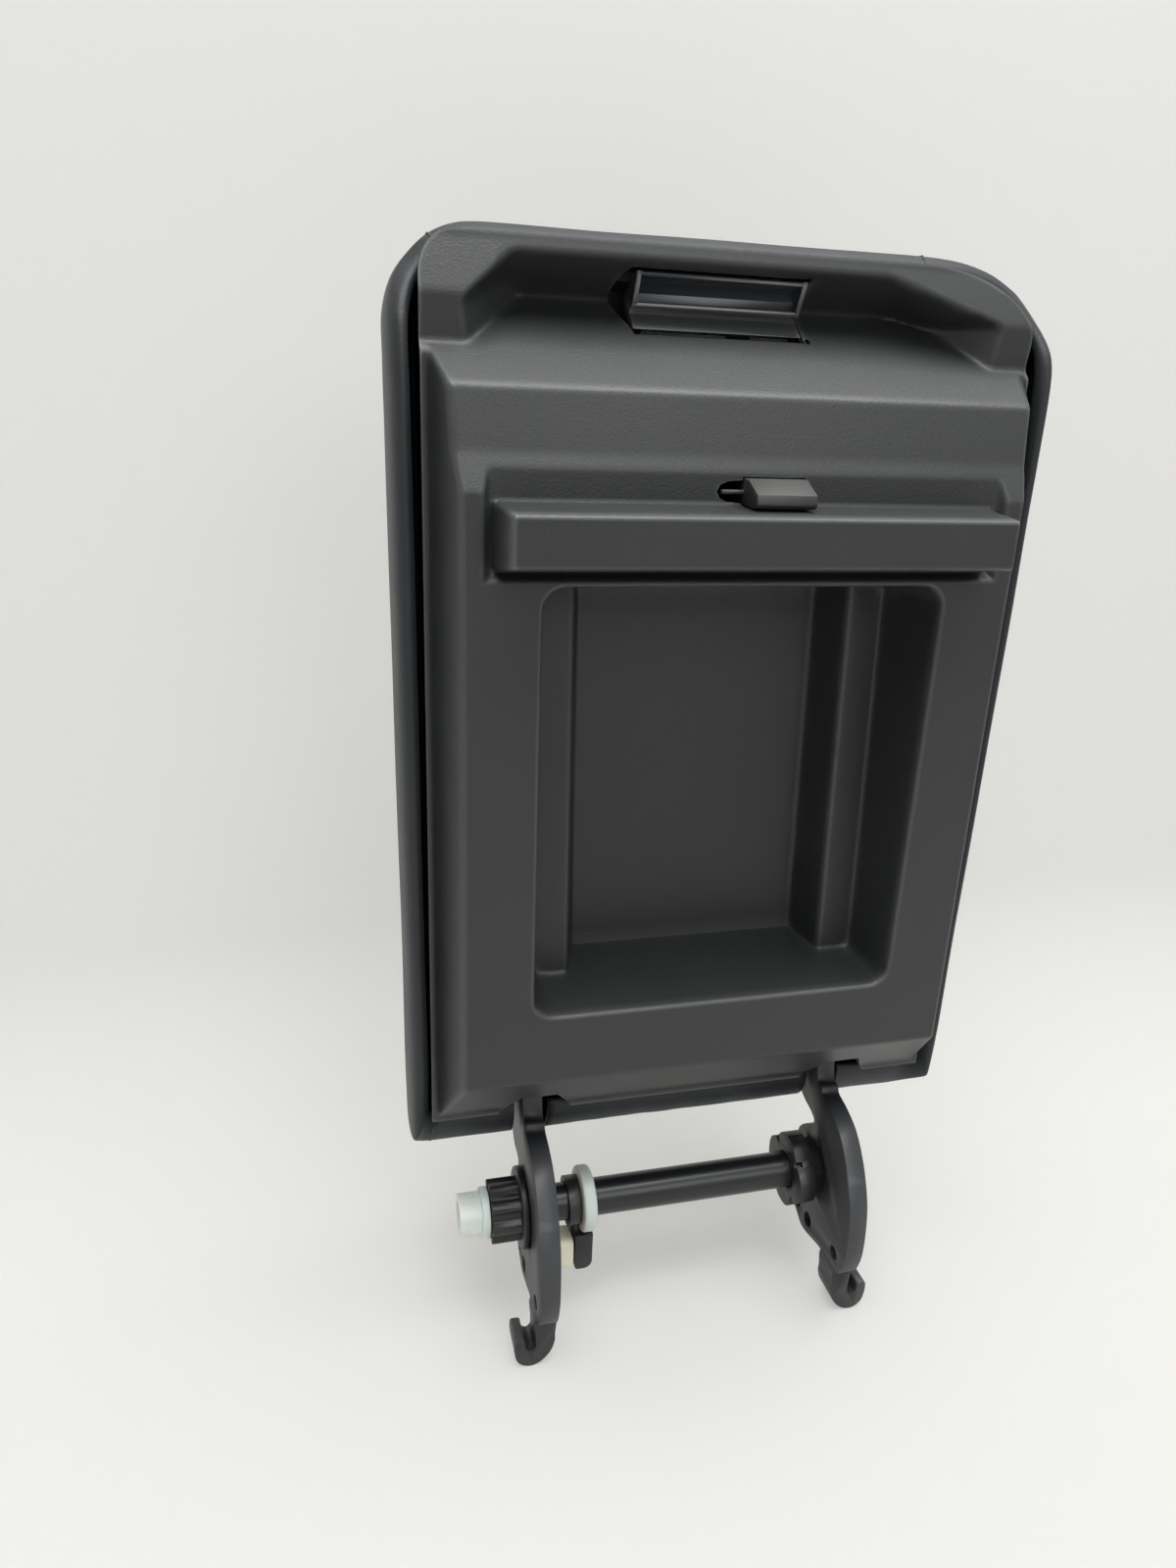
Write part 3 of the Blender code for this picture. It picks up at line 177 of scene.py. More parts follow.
def smooth_line(points, share, rounds):
    """Cut the corners of a closed outline, so that it runs smoothly."""
    for _ in range(rounds):
        cut = []
        for i, (u, v) in enumerate(points):
            next_u, next_v = points[(i + 1) % len(points)]
            cut.append((u + share * (next_u - u), v + share * (next_v - v)))
            cut.append((next_u - share * (next_u - u), next_v - share * (next_v - v)))
        points = cut
    return points


def boolean(piece, operation, *operands):
    """Join or cut with operands, which are removed."""
    for operand in operands:
        step = piece.modifiers.new(operation.lower(), "BOOLEAN")
        step.operation = operation
        step.solver = "EXACT"
        step.object = operand
    apply_modifiers(piece)
    for operand in operands:
        bpy.data.objects.remove(operand)


def tool(form):
    """An operand for boolean(), in place but not part of the object."""
    points, faces = form
    mesh = bpy.data.meshes.new("operand")
    mesh.from_pydata([tuple(point) for point in in_row(points)], [], faces)
    operand = placed("operand", mesh)
    outward(operand)
    return operand


def linear(hex_colour):
    """An sRGB hex colour as linear values with alpha."""
    values = [int(hex_colour[i:i + 2], 16) / 255 for i in (0, 2, 4)]
    return tuple(v / 12.92 if v <= 0.04045 else ((v + 0.055) / 1.055) ** 2.4 for v in values) + (1.0,)


def add_node(tree, kind, settings=None, inputs=None, links=None):
    """Add a node: settings are its properties, inputs its socket values, links (input, node, output)."""
    node = tree.nodes.new(kind)
    for name, value in (settings or {}).items():
        setattr(node, name, value)
    for name, value in (inputs or {}).items():
        node.inputs[name].default_value = value
    for socket, source, output in (links or ()):
        tree.links.new(source.outputs[output], node.inputs[socket])
    return node


# Liner

def soft_max(a, b, reach):
    """The larger of two heights, eased where they come within reach of each other."""
    share = np.clip(0.5 + 0.5 * (a - b) / reach, 0.0, 1.0)
    return b + (a - b) * share + reach * share * (1.0 - share)


def recess_height(half, y, size):
    """Inside of the storage recess: floor, side steps and walls."""
    reach = (y - size.recess_bottom) / (size.recess_top - size.recess_bottom)
    step_z = -4.5 - 8.5 * reach
    floor_z = -22.6 - 9.8 * reach
    level = floor_z + (step_z - floor_z) * np.clip((half - 47.4) / 4.8, 0.0, 1.0)
    wall = np.clip((half - size.step_half) / (size.recess_half - size.step_half), 0.0, 1.0)
    side = level + (size.face_z - level) * wall
    end = np.minimum(y - size.recess_bottom, size.recess_top - y)
    walled = soft_max(side, size.face_z - end * 20.3, 22.0)
    radius = size.recess_corner
    inward = radius - np.hypot(np.maximum(radius - (size.recess_half - half), 0.0),
                               np.maximum(radius - end, 0.0))
    return soft_max(walled, size.face_z - inward * 9.8, 8.0)


def front_height(x, y, size):
    """Rim and side shelves at the front end, hollowed by the finger pocket with its cut back corners."""
    half = np.abs(x)
    rim = np.interp(y, (327.1, 341.0, 357.5), (-5.1, -2.6, -8.5))
    sideways = (half - size.pocket_half) / 19.0
    forwards = (y - 343.5) / 11.0
    level = soft_max(soft_max(sideways, forwards, 0.12), 0.0, 0.06)
    for side, (end_x, end_y) in POCKET_CUTS:
        run, rise = POCKET_SIDE_CUT[0] - end_x, POCKET_SIDE_CUT[1] - end_y
        beyond = (run * (y - end_y) - rise * (half - end_x)) / math.hypot(run, rise)
        level = np.where(x * side > 0, soft_max(level, 1.0 + beyond / 6.5, 0.12), level)
    return np.minimum(rim, -28.0 + 21.0 * level)


def sharp_height(x, y, size):
    """Outer surface of the liner before its edges are eased."""
    half = np.abs(x)
    face = size.face_z
    height = np.interp(y, (47.6, 74.0, 285.0, 296.4, 315.1, 343.5), (-2.0, face, face, 15.2, 11.8, -28.2))
    outside = np.maximum(np.maximum(half - 87.0, 260.5 - y), 0.0)
    groove = np.minimum(height, 17.2 + outside * 1.65)
    beyond = np.maximum(np.maximum(half - size.bar_half, 264.1 - y), np.maximum((y - 280.7) * 2.6, 0.0))
    barred = np.maximum(groove, size.bar_z - beyond * 9.6)
    height = np.where(y < 296.4, barred, height)
    inside = (half < size.recess_half) & (y > size.recess_bottom) & (y < size.recess_top)
    height = np.where(inside, np.minimum(height, recess_height(half, y, size)), height)
    height = np.where(y > 315.1, np.maximum(height, front_height(x, y, size)), height)
    side = face - (half - size.face_half) / 0.316
    return np.minimum(height, np.maximum(side, -2.0))


def liner_height(x, y, size):
    """Outer surface with every edge eased, as moulding does: wide at the front end, tight at the recess."""
    ease = np.interp(y, (255.0, 262.0, 290.0, 300.0), (size.edge_ease, 0.9, 0.9, 1.5))
    total = sharp_height(x, y, size)
    count = 1
    for share, steps in ((0.35, 6), (0.7, 8), (1.0, 10)):
        for i in range(steps):
            turn = 2 * math.pi * (i + share) / steps
            reach = ease * share
            total = total + sharp_height(x + reach * math.cos(turn), y + reach * math.sin(turn), size)
            count += 1
    return total / count


def spaced(stretches):
    """Grid lines from (start, end, step) stretches that follow on each other."""
    lines = []
    for start, end, step in stretches:
        count = max(1, round((end - start) / step))
        lines += [start + (end - start) * i / count for i in range(count)]
    return np.array(lines + [stretches[-1][1]])


def rounded_corners(x, y, edge_x, edge_y):
    """Pull grid points near the front corners onto their curves, which reach further at the right."""
    reach_x = np.where(x < 0, 11.0, 40.0)
    reach_y = np.where(x < 0, 14.0, 24.0)
    across = (np.abs(x) - edge_x) / reach_x + 1.0
    forwards = (y - edge_y) / reach_y + 1.0
    both = (across > 0) & (forwards > 0)
    length = np.where(both, np.hypot(across, forwards), 1.0)
    pull = np.where(both, np.maximum(across, forwards) / length, 1.0)
    new_x = np.where(both, np.sign(x) * (edge_x + (across * pull - 1.0) * reach_x), x)
    new_y = np.where(both, edge_y + (forwards * pull - 1.0) * reach_y, y)
    return new_x, new_y


def build_liner(size, finish):
    """Moulded liner: one wall over a grid of heights, with the arms' notches and the latch's windows."""
    across = spaced(((0.0, 45.0, 3.0), (45.0, 54.0, 0.8), (54.0, 64.5, 2.6), (64.5, 72.0, 0.6),
                     (72.0, 81.0, 2.2), (81.0, 97.5, 0.75), (97.5, 105.0, 0.75)))
    across = np.concatenate((-across[:0:-1], across))
    along = spaced(((45.4, 52.0, 0.8), (52.0, 71.0, 2.2), (71.0, 77.0, 0.8), (77.0, 99.0, 2.5),
                    (99.0, 107.0, 0.6), (107.0, 250.0, 3.2), (250.0, 268.0, 0.6), (268.0, 278.0, 1.6),
                    (278.0, 299.0, 0.7), (299.0, 311.0, 1.6), (311.0, 320.0, 0.8), (320.0, 326.0, 1.5),
                    (326.0, 358.6, 0.85)))
    grid_x, grid_y = np.meshgrid(across, along)
    grid_x, grid_y = rounded_corners(grid_x, grid_y, across[-1], along[-1])
    grid_z = liner_height(grid_x, grid_y, size)
    points = np.stack((grid_x.ravel(), grid_y.ravel(), grid_z.ravel()), axis=1)
    columns = len(across)
    faces = []
    for j in range(len(along) - 1):
        row = j * columns
        above = row + columns
        faces += [(row + i, row + i + 1, above + i + 1, above + i) for i in range(columns - 1)]
    piece = new_piece("liner_shell", (points, faces), finish, LID, ("liner",))
    if sum(face.normal.y for face in piece.data.polygons) > 0:
        piece.data.flip_normals()
    wall = piece.modifiers.new("wall", "SOLIDIFY")
    wall.thickness = LINER_WALL * MM
    wall.offset = -1.0
    apply_modifiers(piece)
    cutters = []
    for side in (-1, 1):
        middle = side * ARM_MIDDLE_X
        notch = ((middle - 18.0, 40.0), (middle + 18.0, 40.0), (middle + 7.0, 58.0), (middle - 7.0, 58.0))
        cutters.append(tool(extrude(notch, -14.0, 24.0, "z")))
    pawl_gap = [(15.8, 281.5), (15.8, 290.8), (-5.8, 290.8), (-5.8, 289.8), (-10.6, 289.4), (-13.2, 288.2),
                (-14.2, 286.2), (-13.2, 284.2), (-10.6, 283.0), (-5.8, 282.6), (-5.8, 281.5)]
    cutters.append(tool(extrude(pawl_gap, -6.0, 30.0, "z")))
    slot_end = [(26.0 + 0.95 * math.cos(a * math.pi / 8), 333.1 + 0.95 * math.sin(a * math.pi / 8))
                for a in range(16)]
    cutters.append(tool(extrude(slot_end, -42.0, 12.0, "z")))
    paddle_gap = [(24.7, 332.6), (24.7, 352.2), (-36.0, 352.4), (-38.9, 350.6), (-40.6, 348.0),
                  (-41.2, 345.0), (-40.4, 341.8), (-38.4, 338.4), (-36.3, 335.4), (-35.4, 333.4),
                  (-35.2, 332.6)]
    cutters.append(tool(extrude(paddle_gap, -42.0, 12.0, "z")))
    boolean(piece, "DIFFERENCE", *cutters)
    piece.data.shade_smooth()
    piece.data.set_sharp_from_angle(angle=math.radians(50))


# Padded top

def corner_reach(reach, inset):
    """How far a corner's curve reaches on a ring: less at first, then more again towards the crowned back."""
    return max(reach - inset, min(18.0, 2.0 + inset * 0.5))


def lid_side(insets, reach, fullness, corner, straight):
    """Points up the right side of the lid, from the hinge end to the end of the front corner's curve.

    A fullness below 1 bulges the front corner beyond an ellipse.
    """
    side, hinge, front = insets
    low_y, high_y = COVER_START_Y + hinge, COVER_END_Y - front
    low_r = corner_reach(12.0, side)
    reach_x, reach_y = corner_reach(reach[0], side), corner_reach(reach[1], front)

    def half_width(y):
        along = (y - COVER_START_Y) / (COVER_END_Y - COVER_START_Y)
        return COVER_HALF_WIDTH + along * COVER_WIDENING - side

    points = []
    for i in range(corner + 1):
        turn = math.pi / 2 * (i / corner - 1)
        y = low_y + low_r + low_r * math.sin(turn)
        points.append((half_width(y) - low_r + low_r * math.cos(turn), y))
    start, end = low_y + low_r, high_y - reach_y
    points += [(half_width(start + (end - start) * i / straight), start + (end - start) * i / straight)
               for i in range(1, straight)]
    for i in range(corner + 1):
        turn = math.pi / 2 * i / corner
        y = high_y - reach_y + reach_y * math.sin(turn) ** fullness
        across = max(math.cos(turn), 0.0) ** fullness
        points.append((half_width(y) - reach_x + reach_x * across, y))
    return points


def lid_ring(insets, heights, corner=9, straight=14):
    """A ring round the lid, inset from the cover's outline at its sides, hinge end and front end."""
    right = lid_side(insets, (50.0, 34.0), 0.86, corner, straight)
    left = [(-x, y) for x, y in reversed(lid_side(insets, (29.0, 32.0), 1.0, corner, straight))]
    low_y, high_y = right[0][1], right[-1][1]
    shares = [i / straight for i in range(1, straight)]
    top = [(right[-1][0] + (left[0][0] - right[-1][0]) * share, high_y) for share in shares]
    bottom = [(left[-1][0] + (right[0][0] - left[-1][0]) * share, low_y) for share in shares]
    side_z, hinge_z, front_z = heights
    levels = (low_y, low_y + 10.0, 327.0, 350.0)
    return [(x, y, float(np.interp(y, levels, (hinge_z, side_z, side_z, front_z))))
            for x, y in right + top + left + bottom]


def set_back(profile, distance):
    """A profile of (inset, z) points moved into the cover along its normals."""
    moved = []
    for i, (inset, z) in enumerate(profile):
        before, after = profile[max(i - 1, 0)], profile[min(i + 1, len(profile) - 1)]
        run, rise = after[0] - before[0], after[1] - before[1]
        length = math.hypot(run, rise)
        moved.append((inset - rise / length * distance, z + run / length * distance))
    return moved


def cover_profiles(size):
    """Outer surface at the sides, hinge end and front end: lip, edge roll, flank, sewn seam, crowned back."""
    flank = ((0.0, 0.25), (0.2, 0.45), (1.8, 0.64), (6.0, 0.81), (10.5, 0.895), (12.2, 0.912), (12.8, 0.898),
             (13.6, 0.93), (20.0, 0.975), (34.0, 1.035), (56.0, 1.075), (74.0, 1.09))
    flank = tuple((inset, size.back_z * share) for inset, share in flank)
    side = ((7.4, -3.0), (7.0, 1.0), (4.2, 3.0), (1.4, -0.2), (0.3, -6.0)) + flank
    hinge = ((17.9, -11.4), (16.9, -8.4), (9.4, -9.4), (2.0, -13.4), (0.2, -16.0)) + flank
    front = ((5.6, -15.1), (5.4, -12.7), (3.2, -11.7), (0.9, -14.4), (0.2, -15.2)) + flank
    return side, hinge, front


def ring_stack(profiles):
    """Rings round the lid, one for each level of the three profiles."""
    return [lid_ring(*zip(*level)) for level in zip(*profiles)]


def wrinkle(point):
    """How far the vinyl stands off its smooth form at a lid-frame point, in millimetres."""
    x, y, z = point
    slow = noise.noise(Vector((x / 46.0, y / 60.0, z / 40.0)))
    tight = noise.noise(Vector((x / 9.0 + 7.0, y / 16.0, z / 22.0)))
    corner = math.exp(-((abs(x) - 108.0) / 22.0) ** 2 - ((y - 338.0) / 30.0) ** 2)
    heel = math.exp(-((y - 34.0) / 16.0) ** 2)
    flank = 1.0 if z > -50.0 else 0.5
    return (0.35 * slow + (0.55 * corner + 0.3 * heel) * tight) * flank


def build_cover(size, finish, thread):
    """Vinyl skin over the foam: smoothed rings round the lid, lightly wrinkled, slotted for the arms."""
    outer = cover_profiles(size)
    inner = [set_back(profile, SKIN_THICKNESS) for profile in outer]
    outer_rings, inner_rings = ring_stack(outer), ring_stack(inner)
    piece = new_piece("vinyl_cover", join_rings(list(reversed(outer_rings)) + inner_rings),
                      finish, LID, ("cover", "foam_pad"))
    smooth = piece.modifiers.new("stretched skin", "SUBSURF")
    smooth.levels = smooth.render_levels = 2
    apply_modifiers(piece)
    normals = [vertex.normal.copy() for vertex in piece.data.vertices]
    for vertex, normal in zip(piece.data.vertices, normals):
        place = (vertex.co.x / MM, vertex.co.z / MM, -vertex.co.y / MM)
        vertex.co += normal * wrinkle(place) * MM
    piece.data.shade_smooth()
    for side in (-1, 1):
        low_x, high_x = side * ARM_MIDDLE_X - 7.0, side * ARM_MIDDLE_X + 7.0
        slot = ((low_x, 10.0), (high_x, 10.0), (high_x, 58.0), (low_x, 58.0))
        boolean(piece, "DIFFERENCE", tool(extrude(slot, -34.0, 24.0, "z")))
    build_seams(piece, outer_rings, thread)


def surface_point(piece, point):
    """The nearest point of a piece's surface to a lid-frame point, and its normal, in the row frame."""
    _, place, normal, _ = piece.closest_point_on_mesh(Vector(in_row([point])[0]))
    return place, normal


def build_seams(cover, rings, thread):
    """Sewn corner seams as fine raised cords, and a row of stitches each side of the back seam."""
    shape = bmesh.new()
    count = len(rings[0])
    for column in CORNER_COLUMNS:
        path = [surface_point(cover, rings[level][column]) for level in range(1, 11)]
        add_cord(shape, [place + normal * 0.05 * MM for place, normal in path], 0.38 * MM)
    for level in STITCH_LEVELS:
        ring = rings[level]
        lengths = [math.dist(ring[i], ring[(i + 1) % count]) for i in range(count)]
        reach = 0.0
        for i in range(count):
            while reach < lengths[i]:
                share = reach / lengths[i]
                start = [a + (b - a) * share for a, b in zip(ring[i], ring[(i + 1) % count])]
                end_share = share + STITCH_LENGTH / lengths[i]
                end = [a + (b - a) * end_share for a, b in zip(ring[i], ring[(i + 1) % count])]
                ends = [surface_point(cover, point) for point in (start, end)]
                middle = (ends[0][0] + ends[1][0]) / 2 + ends[0][1] * 0.3 * MM
                add_cord(shape, (ends[0][0], middle, ends[1][0]), 0.3 * MM)
                reach += STITCH_PITCH
            reach -= lengths[i]
    mesh = bpy.data.meshes.new("cover_stitching")
    bmesh.ops.recalc_face_normals(shape, faces=shape.faces)
    shape.to_mesh(mesh)
    shape.free()
    mesh.materials.append(thread)
    mesh.shade_smooth()
    stitches = placed("cover_stitching", mesh)
    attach(stitches, LID)


def add_cord(shape, path, radius, sides=6):
    """A round cord along a path of row-frame points, closed at both ends."""
    loops = []
    for i, place in enumerate(path):
        run = (path[min(i + 1, len(path) - 1)] - path[max(i - 1, 0)]).normalized()
        across = run.orthogonal().normalized()
        if loops:
            across = (last_across - run * last_across.dot(run)).normalized()
        last_across = across
        upward = run.cross(across)
        loops.append([shape.verts.new(place + radius * (across * math.cos(2 * math.pi * k / sides)
                                                        + upward * math.sin(2 * math.pi * k / sides)))
                      for k in range(sides)])
    for low, high in zip(loops, loops[1:]):
        for k in range(sides):
            m = (k + 1) % sides
            shape.faces.new((low[k], low[m], high[m], high[k]))
    shape.faces.new(loops[0][::-1])
    shape.faces.new(loops[-1])


# Hinge arms

def through(points, steps):
    """A smooth closed outline that passes through the points."""
    count = len(points)
    outline = []
    for i in range(count):
        a, b, c, d = (np.array(points[(i + k) % count], float) for k in (-1, 0, 1, 2))
        for k in range(steps):
            t = k / steps
            outline.append(tuple(0.5 * (2 * b + (c - a) * t + (2 * a - 5 * b + 4 * c - d) * t * t
                                        + (3 * b - a - 3 * c + d) * t ** 3)))
    return outline


def arm_outline(side):
    """Cranked arm seen from its side, as (y, z)."""
    front = [(92.0, -24.0), (70.0, -14.4), (62.0, -12.0), (50.4, -7.5), (40.6, -4.9), (39.2, -1.0),
             (36.4, 0.8), (34.6, 8.4), (30.8, 17.3), (24.3, 24.0), (15.9, 29.6), (4.7, 34.2), (-8.4, 35.8),
             (-19.6, 35.5), (-28.6, 32.8), (-31.6, 29.6), (-32.0, 21.0), (-32.6, 13.0), (-36.0, -1.2),
             (-33.7, -7.8), (-27.2, -16.6), (-19.5, -15.2)]
    eye = [(17.6 * math.sin(math.radians(a)), -17.6 * math.cos(math.radians(a)))
           for a in (-34, -17, 0, 18, 34)]
    if side < 0:
        neck = [(12.4, -16.4), (13.6, -26.0), (24.0, -32.6)]
    else:
        neck = [(14.6, -9.6), (17.4, -5.2), (20.6, -3.8), (23.0, -8.0), (24.6, -15.4), (31.0, -26.6)]
    return front + eye + neck + [(46.0, -33.4), (70.0, -34.4), (92.0, -34.4)]


def hook_outline(side):
    """Hook at the arm's lower end, as (x, y), curling outwards."""
    inner, outer, low = 60.5, 68.3, -54.6
    half = [(inner, -31.0), (inner, low + 15), (inner, low + 11), (inner + 1.6, low + 6),
            (inner + 5.6, low + 1.4), (inner + 10.4, low), (inner + 14.6, low + 2.4), (outer + 8.4, low + 7),
            (outer + 8.4, low + 12.6), (outer + 6.4, low + 13.2), (outer + 4.4, low + 12.6),
            (outer + 4.2, low + 9.6), (outer + 2, low + 7.6), (outer, low + 9.4), (outer, low + 14),
            (outer, -31.0)]
    return [(side * x, y) for x, y in half]


def build_arm(side, finish, size):
    """Cast hinge arm: cranked plate with its eye, holes, foot and hook."""
    name = "left_arm" if side < 0 else "right_arm"
    middle, half = side * ARM_MIDDLE_X, size.arm_thick / 2
    piece = new_piece(f"{name}_casting", extrude(through(arm_outline(side), 4), middle - half, middle + half),
                      finish, LID, (name,))
    hook = tool(extrude(through(hook_outline(side), 3), 16.0, 28.5, "z"))
    foot = tool(extrude(((middle - 15, 57), (middle + 15, 57), (middle + 15, 91), (middle - 15, 91)),
                        -34.8, -30.8, "z"))
    boolean(piece, "UNION", hook, foot)
    cutters = [tool(lathe(((middle - 12, EYE_BORE), (middle + 12, EYE_BORE)), 64))]
    for y, z, radius in ((-27.6, -9.0, 2.6), (-28.6, 1.6, 3.4), (-24.6, 26.0, 3.0)):
        cutters.append(tool(lathe(((middle - 12, radius), (middle + 12, radius)), 28, (y, z))))
    for x in (middle - 9.45, middle + 9.45):
        cutters.append(tool(extrude([(x + 2.4 * math.cos(a * math.pi / 10),
                                      74 + 2.4 * math.sin(a * math.pi / 10))
                                     for a in range(20)], -36.0, -20.0, "z")))
    boolean(piece, "DIFFERENCE", *cutters)
    soften_edges(piece, 0.55, 2, 38.0)
    piece.data.shade_smooth()
    piece.data.set_sharp_from_angle(angle=math.radians(40))


# Hinge rod and what sits on it

def chamfered(low, high, radius, edge):
    """Profile of a round disc with eased edges, as (x, radius) pairs."""
    return ((low, radius - edge), (low + edge * 0.3, radius - edge * 0.3), (low + edge, radius),
            (high - edge, radius), (high - edge * 0.3, radius - edge * 0.3), (high, radius - edge))


def bored_disc(low, high, radius, bore, edge):
    """Profile of a round disc with a bore."""
    return ((low, bore), *chamfered(low, high, radius, edge), (high, bore))


def build_rod(size, finish, clip_finish):
    """Stepped rod with the groove at its right end, and the clip that sits there."""
    r = size.rod_radius
    profile = ((-91.4, 3.6), (-90.6, 4.5), (-81.4, 4.5), (-81.0, 5.0), (-81.0, r - 0.5), (-80.5, r),
               (70.6, r), (70.6, r - 1.2), (73.0, r - 1.2), (73.0, r), (74.3, r), (75.0, r - 0.8))
    new_piece("hinge_rod_turned", lathe(profile, 96), finish, HINGE, ("hinge_rod",), sharp=40)
    form = lathe(((71.0, 6.7), (71.0, 10.8), (71.3, 11.0), (72.3, 11.0), (72.6, 10.8), (72.6, 6.7)),
                 64, ring=True)
    new_piece("retaining_clip_pressed", form, clip_finish, HINGE, ("retaining_clip",), sharp=40)


def build_toothed_bush(finish):
    """Flanged bush with eight broad teeth."""
    form = lathe(bored_disc(-71.3, -68.7, 16.2, ROD_BORE, 0.5), 80, ring=True)
    bush = new_piece("toothed_bush_moulded", form, finish, HINGE, ("toothed_bush",))
    teeth = []
    for i in range(8):
        for offset, radius in ((-0.36, 10.0), (-0.3, 10.4), (-0.2, 12.3), (0.0, 12.5), (0.2, 12.3),
                               (0.3, 10.4)):
            turn = 2 * math.pi * (i + offset) / 8
            teeth.append((radius * math.cos(turn), radius * math.sin(turn)))
    boolean(bush, "UNION", tool(extrude(teeth, -83.0, -70.0)))
    boolean(bush, "DIFFERENCE", tool(lathe(((-90.0, ROD_BORE), (-60.0, ROD_BORE)), 80)))
    soften_edges(bush, 0.45, 2, 35.0, 45)


def build_cap(finish):
    """White cap nut: flange, six flats eased at their corners, open bore."""
    form = lathe(((-83.4, 4.9), *chamfered(-86.6, -83.4, 10.0, 0.6)[::-1], (-86.6, 4.9)), 64, ring=True)
    cap = new_piece("end_cap_moulded", form, finish, HINGE, ("end_cap",))
    flats = []
    for i in range(6):
        for offset in (-9.0, 0.0, 9.0):
            turn = math.radians(60 * i + offset)
            reach = 8.9 if offset == 0.0 else 8.75
            flats.append((reach * math.cos(turn), reach * math.sin(turn)))
    boolean(cap, "UNION", tool(extrude(flats, -95.4, -85.0)))
    boolean(cap, "DIFFERENCE", tool(lathe(((-99.0, 5.4), (-88.0, 5.4), (-87.0, 4.9), (-80.0, 4.9)), 48)))
    soften_edges(cap, 0.55, 3, 32.0, 45)


def build_collar(finish):
    """White ring on the rod."""
    form = lathe(bored_disc(-45.75, -40.25, 13.2, ROD_BORE, 1.1), 72, ring=True)
    collar = new_piece("collar_ring_moulded", form, finish, HINGE, ("collar_ring",))
    soften_edges(collar, 0.4, 2, 40.0)


def build_stop_tab(finish, pad_finish):
    """Black stop tab on its collar, with the cream bumper beside it."""
    tab = new_piece("stop_tab_moulded", lathe(((-51.15, 9.9), (-46.15, 9.9)), 56),
                    finish, HINGE, ("stop_tab",))
    outline = [(-47.65, -13.6), (-40.25, -13.6)]
    outline += [(-43.85 + 3.6 * math.cos(a), -27.4 - 3.6 * math.sin(a))
                for a in np.linspace(0.0, math.pi / 2, 7)]
    outline += [(-46.05 - 1.6 * math.sin(a), -29.4 - 1.6 * math.cos(a))
                for a in np.linspace(0.0, math.pi / 2, 5)]
    plate = tool(extrude(outline, -6.5, 6.5, "z"))
    neck = tool(extrude(((-8.9, -4.5), (-8.9, 4.5), (-17.6, 4.5), (-17.6, -4.5)), -47.65, -46.15))
    boolean(tab, "UNION", plate, neck)
    boolean(tab, "DIFFERENCE", tool(lathe(((-60.0, ROD_BORE), (-40.0, ROD_BORE)), 56)))
    soften_edges(tab, 0.7, 3, 35.0, 45)
    outline = smooth_line([(-31.0, -5.5), (-31.0, 6.5), (-16.2, 6.5), (-16.2, -5.5)], 0.14, 3)
    pad = new_piece("bump_pad_moulded", extrude(outline, -54.45, -48.05), pad_finish, HINGE, ("bump_pad",))
    soften_edges(pad, 1.3, 4, 35.0)


def build_boss(finish):
    """Flange with four shallow lobes and a short sleeve."""
    lobes = []
    for i in range(96):
        turn = 2 * math.pi * i / 96
        radius = 16.6 - 2.6 * (0.5 - 0.5 * math.cos(4 * turn)) ** 2
        lobes.append((radius * math.cos(turn), radius * math.sin(turn)))
    boss = new_piece("right_boss_moulded", extrude(lobes, 47.1, 54.1), finish, HINGE, ("right_boss",))
    boolean(boss, "UNION", tool(lathe(((51.1, 11.9), (60.1, 11.9)), 64)))
    cutters = [tool(lathe(((40.0, ROD_BORE), (65.0, ROD_BORE)), 64))]
    for turn in (0.8, 2.37, 3.94, 5.5):
        centre = (12.9 * math.cos(turn), 12.9 * math.sin(turn))
        cutters.append(tool(lathe(((40.0, 1.6), (50.0, 1.6)), 20, centre)))
    boolean(boss, "DIFFERENCE", *cutters)
    soften_edges(boss, 0.6, 2, 38.0, 45)


# Latch

